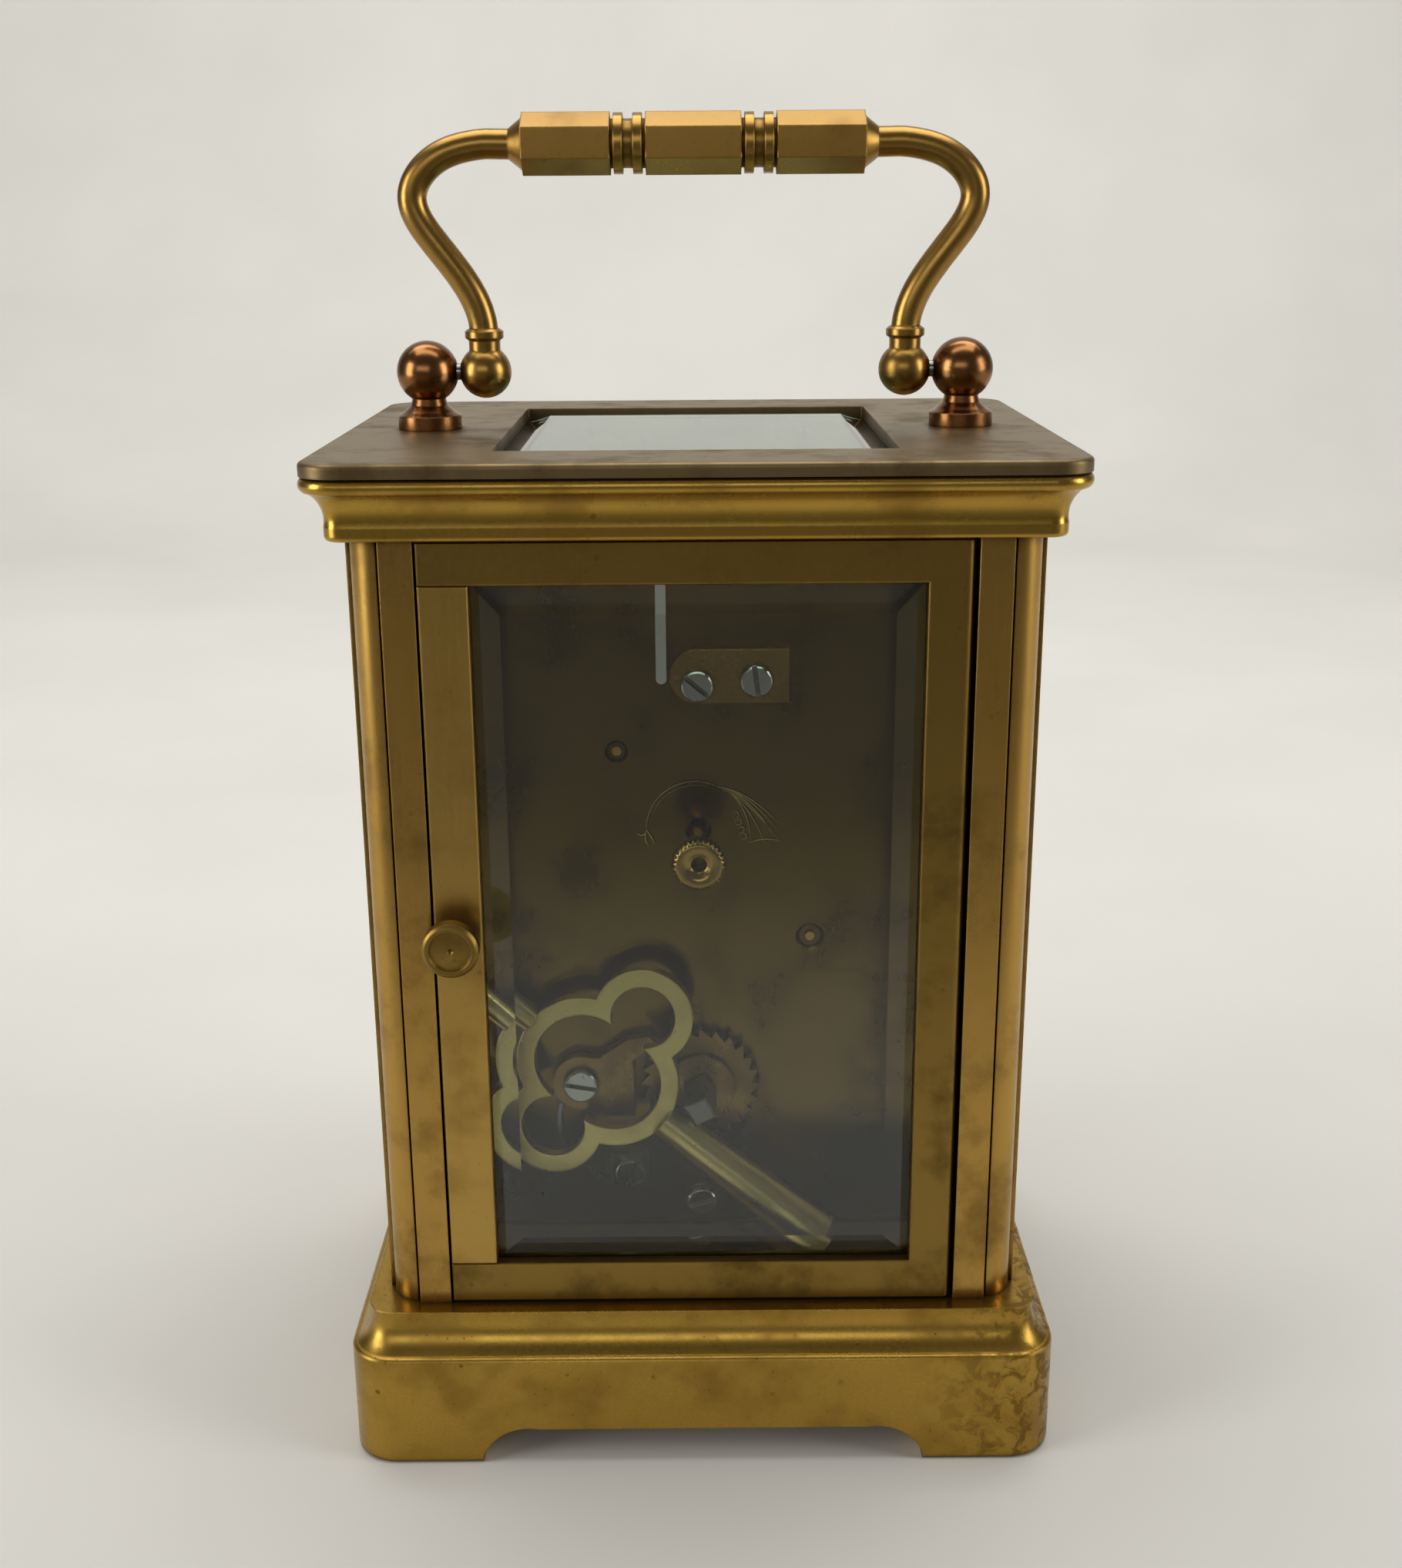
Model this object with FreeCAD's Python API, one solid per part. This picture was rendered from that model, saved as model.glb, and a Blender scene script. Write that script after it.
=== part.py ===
import FreeCAD, Part
import math
import os

# Brass carriage clock with a five-pane case, a rear door, a bail handle and an eight-day
# movement under a horizontal platform escapement.
# Frame: +Z up, origin at the bottom centre of the feet, dial facing -Y, rear door at +Y.
# All lengths are millimetres.

V = FreeCAD.Vector
UP = V(0, 0, 1)
BACK = V(0, 1, 0)
RIGHT = V(1, 0, 0)

# ---------------------------------------------------------------- driving dimensions
# case
body_width = 71.5
body_depth = 57.8
body_height = 86.9
base_height = 18.2
base_face_height = 13.6
ledge_overhang = 2.0
base_flare = 2.25
base_corner = 5.2
base_wall = 4.0
base_flange = 3.0
foot_length = 15.0
foot_gap_height = 4.4
foot_curve_length = 6.4
cornice_overhang = 1.4
cornice_flare = 2.25
cornice_height = 6.5
cornice_bead = 1.7
cornice_corner = 4.3
top_plate_thickness = 1.45
top_window_width = 41.8
top_window_depth = 44.0
window_corner = 0.3
pillar_side = 7.35
strip_width = 3.5
strip_relief = 0.55
glass_thickness = 2.2
glass_edge = 1.2
glass_bevel = 3.0
glass_groove = 1.3
fit = 0.1
gap = 0.25
case_screw_radius = 1.25
floor_thickness = 1.5
floor_rebate = 1.2

# door
door_thickness = 4.0
hinge_stile = 4.8
closing_stile = 5.1
top_rail = 4.4
bottom_rail = 4.7
hinge_inset = 1.1
hinge_pin_radius = 0.6
hinge_pin_reach = 2.0
running_fit = 0.05
door_knob_radius = 3.0
door_knob_height = 44.4
door_knob_proud = 4.0

# handle
post_spacing = 60.0
post_ball = 3.45
pivot_height = 6.25
handle_ball = 2.9
handle_rod = 1.6
handle_rise = 24.1
handle_reach = 30.8
grip_length = 37.2
grip_across = 5.7
pivot_pin_radius = 0.9

# movement
plate_half_width = 29.0
plate_top = 98.6
plate_thickness = 1.8
back_plate_y = 10.5
plate_gap = 21.2
centre_height = 68.6
barrel_height = 37.4
intermediate_x, intermediate_z = -12.9, 55.4
third_x, third_z = 9.2, 78.0
contrate_x, contrate_z = -0.8, 87.0
movement_pillar_x = 23.0
movement_pillar_radius = 2.5
winding_square = 2.8
winding_reach = 9.0
ratchet_radius = 7.06
ratchet_teeth = 24
set_knob_radius = 3.0
set_knob_reach = 12.5
barrel_teeth, intermediate_leaves = 48, 12
wheel_teeth, pinion_leaves = 60, 10
contrate_teeth, escape_leaves = 48, 8
contrate_radius = 8.4
escape_teeth = 15
cannon_leaves, minute_teeth = 12, 36
minute_leaves, hour_teeth = 12, 48
motion_distance = 8.4
tooth_play = 0.06
pivot_radius = 0.55

# dial and hands
dial_width = 55.0
dial_height = 82.0
dial_thickness = 0.8
dial_gap = 4.0
minute_hand_length = 19.5
hour_hand_length = 13.0

# ---------------------------------------------------------------- worked-out places
half_x = body_width / 2
half_y = body_depth / 2
body_top = base_height + body_height
cornice_top = body_top + cornice_height
case_top = cornice_top + top_plate_thickness
pillar_x = half_x - pillar_side
pillar_y = half_y - pillar_side
front_plate_y = back_plate_y - plate_thickness - plate_gap
plate_front_y = front_plate_y - plate_thickness
dial_y = plate_front_y - dial_gap
pivot_z = case_top + pivot_height

parts = {}


# ---------------------------------------------------------------- shape helpers
def block(x0, x1, y0, y1, z0, z1):
    return Part.makeBox(x1 - x0, y1 - y0, z1 - z0, V(x0, y0, z0))


def upright(x, y, z0, z1, radius):
    return Part.makeCylinder(radius, z1 - z0, V(x, y, z0), UP)


def arbor(x, z, y0, y1, radius):
    """Round bar along Y, as every arbor between the plates is."""
    return Part.makeCylinder(radius, y1 - y0, V(x, y0, z), BACK)


def face_of(points):
    return Part.Face(Part.makePolygon([V(*p) for p in points] + [V(*points[0])]))


def turned(profile, centre):
    """Solid turned about the vertical axis through centre, from (radius, height) pairs."""
    x, y, z = centre
    face = face_of([(x + r, y, z + h) for r, h in profile])
    return face.revolve(V(x, y, z), UP, 360)


def rounded_slab(hx, hy, corner, z0, z1):
    """Slab with rounded corners in plan, hx and hy being its half sides."""
    slab = block(-hx, hx, -hy, hy, z0, z1)
    edges = [e for e in slab.Edges if abs(e.tangentAt(e.FirstParameter).z) > 0.99]
    return slab.makeFillet(corner, edges)


def moulded_slab(hx, hy, corner, outline):
    """Slab whose edge follows an outline of Part edges in the XZ plane, x being measured outwards
    from the corner centres: straight runs are extruded and the corners are turned."""
    face = Part.Face(Part.Wire(outline))
    cx, cy = hx - corner, hy - corner
    z0, z1 = face.BoundBox.ZMin, face.BoundBox.ZMax
    solid = block(-cx, cx, -cy, cy, z0, z1)
    for turn in range(4):
        along, out = (cy, cx) if turn % 2 == 0 else (cx, cy)
        side = face.copy()
        side.translate(V(out, -along, 0))
        run = side.extrude(V(0, 2 * along, 0))
        end = face.copy()
        end.translate(V(out, along, 0))
        bend = end.revolve(V(out, along, 0), UP, 90)
        for piece in (run, bend):
            piece.rotate(V(0, 0, 0), UP, 90 * turn)
            solid = solid.fuse(piece)
    return solid.removeSplitter()


def line(a, b):
    return Part.LineSegment(V(a[0], 0, a[1]), V(b[0], 0, b[1])).toShape()


def arc(a, mid, b):
    return Part.Arc(V(a[0], 0, a[1]), V(mid[0], 0, mid[1]), V(b[0], 0, b[1])).toShape()


def bent(a, b, centre):
    """Quarter ellipse from a to b about centre, drawn as one arc through its middle."""
    mid = tuple(c + math.sqrt(0.5) * (p - c + q - c) for p, q, c in zip(a, b, centre))
    return arc(a, mid, b)


def bevelled_pane(width, height, edge_hidden):
    """Glass pane in the XZ plane, outer face towards +Y: thin edge, bevel, then the full thickness."""
    w, h = width / 2, height / 2
    pane = block(-w, w, 0, glass_edge, -h, h)
    inset = edge_hidden + glass_bevel
    lower = [V(sx * (w - edge_hidden), glass_edge, sz * (h - edge_hidden))
             for sx, sz in ((-1, -1), (1, -1), (1, 1), (-1, 1))]
    upper = [V(sx * (w - inset), glass_thickness, sz * (h - inset))
             for sx, sz in ((-1, -1), (1, -1), (1, 1), (-1, 1))]
    wires = [Part.makePolygon(loop + [loop[0]]) for loop in (lower, upper)]
    return pane.fuse(Part.makeLoft(wires, True, True)).removeSplitter()


def screw(radius, length, head_radius, head_height, slot_width=0.55):
    """Cheese-headed screw along -Z with its head above z = 0 and a slot along X."""
    shank = upright(0, 0, -length, 0, radius)
    head = upright(0, 0, 0, head_height, head_radius)
    head = head.makeChamfer(head_height * 0.2, [head.Edges[0]])
    slot = block(-head_radius, head_radius, -slot_width / 2, slot_width / 2,
                 head_height * 0.4, head_height + 1)
    return shank.fuse(head).removeSplitter().cut(slot)


def placed(shape, direction, point, spin=0.0):
    """Copy of a shape drawn along +Z, turned to a direction and moved to a point."""
    copy = shape.copy()
    copy.rotate(V(0, 0, 0), UP, spin)
    turn = FreeCAD.Rotation(UP, V(*direction))
    copy.Placement = FreeCAD.Placement(V(*point), turn).multiply(copy.Placement)
    return copy


def corners(x, y):
    return [(sx * x, sy * y) for sx in (-1, 1) for sy in (-1, 1)]


# ---------------------------------------------------------------- base and floor
shoulder = 0.6
base_hx = half_x + ledge_overhang + base_flare
base_hy = half_y + ledge_overhang + base_flare
ledge_r = base_corner - base_flare
rim_r = base_corner - shoulder
cove_end = (rim_r, base_face_height)
cove_start = (ledge_r, base_height)
base_outline = [
    line((0, 0), (base_corner - shoulder, 0)),
    bent((base_corner - shoulder, 0), (base_corner, shoulder), (base_corner - shoulder, shoulder)),
    line((base_corner, shoulder), (base_corner, base_face_height - shoulder)),
    bent((base_corner, base_face_height - shoulder), cove_end, (rim_r, base_face_height - shoulder)),
    bent(cove_end, cove_start, (rim_r, base_height)),
    line(cove_start, (0, base_height)),
    line((0, base_height), (0, 0)),
]


def foot_gap(half_width, depth):
    """Tool that cuts the gap between two bracket feet: short upright sides and quarter-round tops."""
    top, side = foot_gap_height, foot_gap_height * 0.23
    left, right = -half_width, half_width
    edges = [
        line((left, -1), (right, -1)),
        line((right, -1), (right, side)),
        bent((right, side), (right - foot_curve_length, top), (right - foot_curve_length, side)),
        line((right - foot_curve_length, top), (left + foot_curve_length, top)),
        bent((left + foot_curve_length, top), (left, side), (left + foot_curve_length, side)),
        line((left, side), (left, -1)),
    ]
    tool = Part.Face(Part.Wire(edges)).extrude(V(0, 2 * depth, 0))
    tool.translate(V(0, -depth, 0))
    return tool


flange_z = base_height - base_flange
cavity_x, cavity_y = base_hx - base_wall, base_hy - base_wall
opening_x, opening_y = pillar_x - 1.4, pillar_y - 1.1
rebate_x, rebate_y = opening_x + floor_rebate, opening_y + floor_rebate - 0.3
floor_z = base_height - floor_thickness
base = moulded_slab(base_hx, base_hy, base_corner, base_outline)
base = base.cut(rounded_slab(cavity_x, cavity_y, base_corner - 1.5, -1, flange_z))
base = base.cut(block(-opening_x, opening_x, -opening_y, opening_y, 0, base_height + 1))
base = base.cut(block(-rebate_x, rebate_x, -rebate_y, rebate_y, floor_z, base_height + 1))
base = base.cut(foot_gap(base_hx - foot_length, base_hy + 1))
side_gap = foot_gap(base_hy - foot_length, base_hx + 1)
side_gap.rotate(V(0, 0, 0), UP, 90)
base = base.cut(side_gap)

screw_x, screw_y = half_x - pillar_side * 0.52, half_y - pillar_side * 0.52
for x, y in corners(screw_x, screw_y):
    base = base.cut(upright(x, y, 0, base_height + 1, case_screw_radius + fit))
hinge_x = -(pillar_x - gap - hinge_inset)
hinge_y = half_y - hinge_inset
base = base.cut(upright(hinge_x, hinge_y, base_height - hinge_pin_reach, base_height + 1,
                        hinge_pin_radius + running_fit))
parts["base_moulding"] = base

movement_pillar_z = base_height + movement_pillar_radius + 0.2
seat_y = (back_plate_y + plate_front_y) / 2
floor = block(-rebate_x + fit, rebate_x - fit, -rebate_y + fit, rebate_y - fit, floor_z, base_height)
for sx in (-1, 1):
    floor = floor.cut(upright(sx * movement_pillar_x, seat_y, 0, base_height + 1, 1.0 + fit))
parts["floor_plate"] = floor

# ---------------------------------------------------------------- cornice and top plate
bead_r = cornice_bead / 2
cornice_hx = half_x + cornice_overhang + cornice_flare
cornice_hy = half_y + cornice_overhang + cornice_flare
bead_x = cornice_corner - bead_r
foot_r = cornice_corner - cornice_flare
upper_z = cornice_top - cornice_bead
cornice_outline = [
    line((0, body_top), (foot_r - 0.5, body_top)),
    bent((foot_r - 0.5, body_top), (foot_r, body_top + 0.5), (foot_r - 0.5, body_top + 0.5)),
    line((foot_r, body_top + 0.5), (foot_r, body_top + 1.4)),
    bent((foot_r, body_top + 1.4), (bead_x, upper_z), (bead_x, body_top + 1.4)),
    arc((bead_x, upper_z), (cornice_corner, upper_z + bead_r), (bead_x, cornice_top)),
    line((bead_x, cornice_top), (0, cornice_top)),
    line((0, cornice_top), (0, body_top)),
]
window_x, window_y = top_window_width / 2, top_window_depth / 2
pane_x, pane_y = window_x + glass_groove, window_y + glass_groove
cornice = moulded_slab(cornice_hx, cornice_hy, cornice_corner, cornice_outline)
cornice = cornice.cut(block(-window_x - 0.2, window_x + 0.2, -window_y - 0.2, window_y + 0.2,
                            body_top - 1, cornice_top + 1))
pane_seat = cornice_top - glass_edge - fit
cornice = cornice.cut(block(-pane_x, pane_x, -pane_y, pane_y, pane_seat, cornice_top + 1))
for x, y in corners(screw_x, screw_y):
    cornice = cornice.cut(upright(x, y, body_top - 1, cornice_top + 1, case_screw_radius + fit))
    cornice = cornice.cut(upright(x, y, cornice_top - 2.0, cornice_top + 1, 2.6))
for sx in (-1, 1):
    cornice = cornice.cut(upright(sx * post_spacing / 2, 0, body_top - 1, cornice_top + 1, 1.5 + fit))
    cornice = cornice.cut(upright(sx * post_spacing / 2, 0, body_top - 1, body_top + 2.4, 3.4))
cornice = cornice.cut(upright(hinge_x, hinge_y, body_top - 1, body_top + hinge_pin_reach,
                              hinge_pin_radius + running_fit))
parts["cornice_moulding"] = cornice

plate = rounded_slab(cornice_hx - 0.1, cornice_hy - 0.1, cornice_corner - 0.1, cornice_top, case_top)
rim = [e for e in plate.Edges if e.BoundBox.ZMin > case_top - 0.01]
plate = plate.makeFillet(0.5, rim)
window = rounded_slab(window_x, window_y, window_corner, cornice_top - 1, case_top + 1)
plate = plate.cut(window)
for sx in (-1, 1):
    plate = plate.cut(upright(sx * post_spacing / 2, 0, cornice_top - 1, case_top + 1, 1.5 + fit))
parts["top_plate"] = plate

top_glass = bevelled_pane(2 * (pane_x - fit), 2 * (pane_y - fit), glass_groove)
top_glass.rotate(V(0, 0, 0), RIGHT, 90)
top_glass.translate(V(0, 0, cornice_top - glass_edge))
parts["top_glass"] = top_glass


# ---------------------------------------------------------------- pillars and fixed glasses
def pillar_section():
    """Corner pillar in plan, outer corner at (half_x, half_y): two raised strips and a round bead."""
    inner_x, inner_y = pillar_x, pillar_y
    strip_x, strip_y = inner_x + strip_width, inner_y + strip_width
    bead_centre = (strip_x + 0.3, strip_y + 0.3)
    radius = half_x - strip_relief - bead_centre[0]
    diagonal = radius * math.sqrt(0.5)
    points = [
        (bead_centre[0] + radius, bead_centre[1]),
        (half_x - 0.95, strip_y),
        (half_x, strip_y),
        (half_x, inner_y),
        (inner_x, inner_y),
        (inner_x, half_y),
        (strip_x, half_y),
        (strip_x, half_y - 0.95),
        (bead_centre[0], bead_centre[1] + radius),
    ]
    edges = [Part.LineSegment(V(*a, 0), V(*b, 0)).toShape() for a, b in zip(points, points[1:])]
    middle = V(bead_centre[0] + diagonal, bead_centre[1] + diagonal, 0)
    edges.append(Part.Arc(V(*points[-1], 0), middle, V(*points[0], 0)).toShape())
    return Part.Face(Part.Wire(edges))


# the thin edge of a fixed pane sits in a groove this far inside the pillar's outer face
pane_offset = 0.8
side_pane_x = half_x - pane_offset - glass_thickness
front_pane_y = half_y - pane_offset - glass_thickness
groove_side = block(side_pane_x - 0.05, side_pane_x + glass_edge + 0.05, pillar_y - 1,
                    pillar_y + glass_groove, base_height - 1, body_top + 1)
groove_front = block(pillar_x - 1, pillar_x + glass_groove, front_pane_y - 0.05,
                     front_pane_y + glass_edge + 0.05, base_height - 1, body_top + 1)
section = pillar_section()
section.translate(V(0, 0, base_height))
pillar = section.extrude(V(0, 0, body_height)).cut(groove_side)
for z0, z1 in ((base_height - 1, base_height + 9), (body_top - 9, body_top + 1)):
    pillar = pillar.cut(upright(screw_x, screw_y, z0, z1, case_screw_radius + 0.02))
rear_pillar = pillar
front_pillar = pillar.cut(groove_front)
# seen from the front (-Y) the clock's left is -X
parts["pillar_rear_right"] = rear_pillar
parts["pillar_rear_left"] = rear_pillar.mirror(V(0, 0, 0), RIGHT)
parts["pillar_front_right"] = front_pillar.mirror(V(0, 0, 0), BACK)
parts["pillar_front_left"] = front_pillar.mirror(V(0, 0, 0), BACK).mirror(V(0, 0, 0), RIGHT)

pane_height = body_height - 2 * fit
pane_mid = (base_height + body_top) / 2
side_glass = bevelled_pane(2 * (pillar_y + glass_groove - fit), pane_height, glass_groove)
side_glass.rotate(V(0, 0, 0), UP, -90)
side_glass.translate(V(side_pane_x, 0, pane_mid))
parts["side_glasses"] = Part.makeCompound([side_glass, side_glass.mirror(V(0, 0, 0), RIGHT)])
front_glass = bevelled_pane(2 * (pillar_x + glass_groove - fit), pane_height, glass_groove)
front_glass.translate(V(0, front_pane_y, pane_mid))
parts["front_glass"] = front_glass.mirror(V(0, 0, 0), BACK)

case_screws = []
for x, y in corners(screw_x, screw_y):
    case_screws.append(placed(screw(case_screw_radius, base_flange + 8, 2.3, 1.6), (0, 0, -1),
                              (x, y, flange_z), 30))
    case_screws.append(placed(screw(case_screw_radius, cornice_height - 2.0 + 8, 2.3, 1.6), (0, 0, 1),
                              (x, y, cornice_top - 2.0), 70))
parts["case_screws"] = Part.makeCompound(case_screws)

# ---------------------------------------------------------------- rear door
door_x = pillar_x - gap
door_z0, door_z1 = base_height + gap, body_top - gap
door_inner = half_y - door_thickness
door_pane_y = half_y - 0.45 - glass_thickness
stile_x = door_x - closing_stile
sight_z0, sight_z1 = door_z0 + bottom_rail, door_z1 - top_rail
sight_x0, sight_x1 = -door_x + hinge_stile, stile_x

frame = block(-door_x, door_x, door_inner, half_y, door_z0, door_z1)
frame = frame.cut(block(sight_x0, sight_x1, 0, half_y + 1, sight_z0, sight_z1))
frame = frame.cut(block(stile_x, door_x + 1, 0, half_y + 1, sight_z0, sight_z1))
groove = block(sight_x0 - glass_groove, sight_x1 + glass_groove, door_pane_y - 0.05,
               door_pane_y + glass_edge + 0.05, sight_z0 - glass_groove, sight_z1 + glass_groove)
frame = frame.cut(groove)
edge_block = block(-door_x - 1, hinge_x, hinge_y, half_y + 1, door_z0 - 1, door_z1 + 1)
edge_round = upright(hinge_x, hinge_y, door_z0 - 1, door_z1 + 1, hinge_inset)
frame = frame.cut(edge_block.cut(edge_round))
for z0, z1 in ((door_z0 - 1, door_z0 + 3), (door_z1 - 3, door_z1 + 1)):
    frame = frame.cut(upright(hinge_x, hinge_y, z0, z1, hinge_pin_radius))
frame_edges = [e for e in frame.Edges if e.BoundBox.YMin > half_y - 0.01 and e.BoundBox.XMax > hinge_x + 1]
frame = frame.makeChamfer(0.12, frame_edges)
parts["door_frame"] = frame

knob_x = door_x - 2.1
knob_z = base_height + door_knob_height
closing = block(stile_x, door_x, door_inner, half_y, sight_z0 + 0.05, sight_z1 - 0.05).cut(groove)
closing = closing.makeChamfer(0.12, [e for e in closing.Edges if e.BoundBox.YMin > half_y - 0.01])
closing = closing.cut(arbor(knob_x, knob_z, door_inner - 1, half_y + 1, 1.0))
parts["door_closing_stile"] = closing

door_glass = bevelled_pane(sight_x1 - sight_x0 + 2 * (glass_groove - fit),
                           sight_z1 - sight_z0 + 2 * (glass_groove - fit), glass_groove)
door_glass.translate(V((sight_x0 + sight_x1) / 2, door_pane_y, (sight_z0 + sight_z1) / 2))
parts["door_glass"] = door_glass

pins = [upright(hinge_x, hinge_y, door_z0 - gap - hinge_pin_reach + 0.2, door_z0 + 2.9, hinge_pin_radius),
        upright(hinge_x, hinge_y, door_z1 - 2.9, door_z1 + gap + hinge_pin_reach - 0.2, hinge_pin_radius)]
parts["door_hinge_pins"] = Part.makeCompound(pins)

rivet = door_thickness
knob_profile = [(0, -rivet), (1.0, -rivet), (1.0, 0), (1.9, 0), (1.9, 0.5), (1.45, 0.9), (1.45, 1.7),
                (door_knob_radius - 0.4, 2.0), (door_knob_radius, 2.4),
                (door_knob_radius, door_knob_proud - 0.3), (door_knob_radius - 0.35, door_knob_proud),
                (door_knob_radius - 0.75, door_knob_proud), (door_knob_radius - 0.85, door_knob_proud - 0.3),
                (0.35, door_knob_proud - 0.15), (0, door_knob_proud - 0.45)]
parts["door_knob"] = placed(turned(knob_profile, (0, 0, 0)), (0, 1, 0), (knob_x, half_y, knob_z))

# ---------------------------------------------------------------- handle and its posts
post_x = post_spacing / 2
ball_x = post_x - post_ball - handle_ball - 0.15
posts = []
nuts = []
for sx in (-1, 1):
    stem_foot = 0.3 - cornice_height - top_plate_thickness
    stem = [(0, stem_foot), (1.5, stem_foot), (1.5, 0), (3.55, 0), (3.55, 1.5), (2.9, 1.9),
            (2.1, 2.6), (1.85, 3.4), (2.2, 4.0), (2.2, pivot_height),
            (0, pivot_height)]
    post = turned(stem, (sx * post_x, 0, case_top))
    post = post.fuse(Part.makeSphere(post_ball, V(sx * post_x, 0, pivot_z)))
    hole = Part.makeCylinder(pivot_pin_radius, 4, V(sx * (ball_x + handle_ball - 1), 0, pivot_z), V(sx, 0, 0))
    posts.append(post.removeSplitter().cut(hole))
    nut = turned([(1.52, 0), (3.0, 0), (3.0, 1.8), (1.52, 1.8)], (sx * post_x, 0, body_top + 0.6))
    nuts.append(nut)
parts["handle_posts"] = Part.makeCompound(posts)
parts["handle_post_nuts"] = Part.makeCompound(nuts)

pin_length = post_x - ball_x + 0.8
parts["handle_pivot_pins"] = Part.makeCompound([
    Part.makeCylinder(pivot_pin_radius, pin_length - 0.4, V(sx * (ball_x - 1.4), 0, pivot_z), V(sx, 0, 0))
    for sx in (-1, 1)])


def handle_side(sx):
    """One arm of the bail: ball, collar and a round rod that swells outwards and bends into the grip."""
    z = pivot_z
    ball = Part.makeSphere(handle_ball, V(sx * ball_x, 0, z))
    collar = turned([(0, 2), (1.75, 2), (1.75, 3.4), (2.15, 3.7), (2.15, 4.4), (1.75, 4.7), (0, 4.7)],
                    (sx * ball_x, 0, z))
    rod = handle_rod
    a = V(sx * ball_x, 0, z + 4.0)
    b = V(sx * (ball_x + 0.35), 0, z + 6.4)
    c = V(sx * (ball_x + 5.1), 0, z + 14.0)
    d = V(sx * handle_reach, 0, z + 18.6)
    e = V(sx * (handle_reach - 3.6), 0, z + 23.1)
    f = V(sx * (grip_length / 2 + 4.6), 0, z + handle_rise)
    g = V(sx * (grip_length / 2 - 0.3), 0, z + handle_rise)
    spine = Part.BSplineCurve()
    spine.interpolate([a, b, c, d, e, f, g], InitialTangent=UP, FinalTangent=V(-sx, 0, 0))
    path = Part.Wire(spine.toShape())
    ring = Part.Wire(Part.makeCircle(rod, a, UP))
    arm = path.makePipeShell([ring], True, False)
    return ball.fuse([collar, arm])


grip_z = pivot_z + handle_rise
flat_r = grip_across / math.sqrt(3)


def hexagon(x0, x1, across_corners):
    points = [V(x0, across_corners * math.cos(math.radians(30 + 60 * k)),
                grip_z + across_corners * math.sin(math.radians(30 + 60 * k))) for k in range(6)]
    face = Part.Face(Part.makePolygon(points + [points[0]]))
    return face.extrude(V(x1 - x0, 0, 0))


def ring_at(x0, x1, r0, r1):
    if abs(r0 - r1) < 1e-6:
        return Part.makeCylinder(r0, x1 - x0, V(x0, 0, grip_z), RIGHT)
    return Part.makeCone(r0, r1, x1 - x0, V(x0, 0, grip_z), RIGHT)


bead_x0, bead_x1, ring_width = 5.2, 9.0, 1.0
grip_half = grip_length / 2
handle = hexagon(-bead_x0, bead_x0, flat_r)
for sx in (-1, 1):
    inner, outer = sorted((sx * bead_x1, sx * grip_half))
    handle = handle.fuse(hexagon(inner, outer, flat_r))
    spans = ((bead_x0 - 0.01, bead_x1 + 0.01, flat_r * 0.78),
             (bead_x0 + 0.35, bead_x0 + 0.35 + ring_width, flat_r * 0.97),
             (bead_x1 - 0.35 - ring_width, bead_x1 - 0.35, flat_r * 0.97))
    for x0, x1, r in spans:
        lo, hi = sorted((sx * x0, sx * x1))
        handle = handle.fuse(ring_at(lo, hi, r, r))
    lo, hi = sorted((sx * grip_half, sx * (grip_half + 1.4)))
    tips = (flat_r * 0.84, handle_rod * 1.05)
    handle = handle.fuse(ring_at(lo, hi, *(tips if sx > 0 else tips[::-1])))
    handle = handle.fuse(handle_side(sx))
for sx in (-1, 1):
    bore = Part.makeCylinder(pivot_pin_radius + running_fit, handle_ball + 2.2,
                             V(sx * (ball_x - 1.6), 0, pivot_z), V(sx, 0, 0))
    handle = handle.cut(bore)
parts["handle_bail"] = handle


# ---------------------------------------------------------------- gear helpers
pressure = math.radians(25)
tooth_head, tooth_root = 0.7, 1.0


def direction(a, b):
    return math.atan2(b[1] - a[1], b[0] - a[0])


def distance(a, b):
    return math.hypot(b[0] - a[0], b[1] - a[1])


def mesh_module(a, b, teeth_a, teeth_b):
    return 2 * distance(a, b) / (teeth_a + teeth_b)


def mesh_phase(a, b, teeth_a, teeth_b, phase_a):
    """Phase of gear b that puts a gap of it where gear a has a tooth on the line of centres."""
    angle = direction(a, b)
    return angle + math.pi + math.pi / teeth_b - (phase_a - angle) * teeth_a / teeth_b


def involute(angle):
    return math.tan(angle) - angle


def gear(centre, y0, y1, teeth, module, phase=0.0):
    """Spur gear along Y with stub involute teeth, thinned by the tooth play on each flank."""
    pitch = teeth * module / 2
    base_circle = pitch * math.cos(pressure)
    tip, root = pitch + tooth_head * module, pitch - tooth_root * module
    half = math.pi / (2 * teeth) - tooth_play / pitch + involute(pressure)
    start = max(root, base_circle)
    radii = [start + (tip - start) * k / 3 for k in range(4)]
    flank = [(r, half - involute(math.acos(min(1.0, base_circle / r)))) for r in radii]
    if root < start:
        flank.insert(0, (root, flank[0][1]))
    points = []
    for tooth in range(teeth):
        middle = phase + 2 * math.pi * tooth / teeth
        side = [(r, middle - a) for r, a in flank] + [(r, middle + a) for r, a in reversed(flank)]
        points += [(centre[0] + r * math.cos(a), y0, centre[1] + r * math.sin(a)) for r, a in side]
    return face_of(points).extrude(V(0, y1 - y0, 0))


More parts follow.
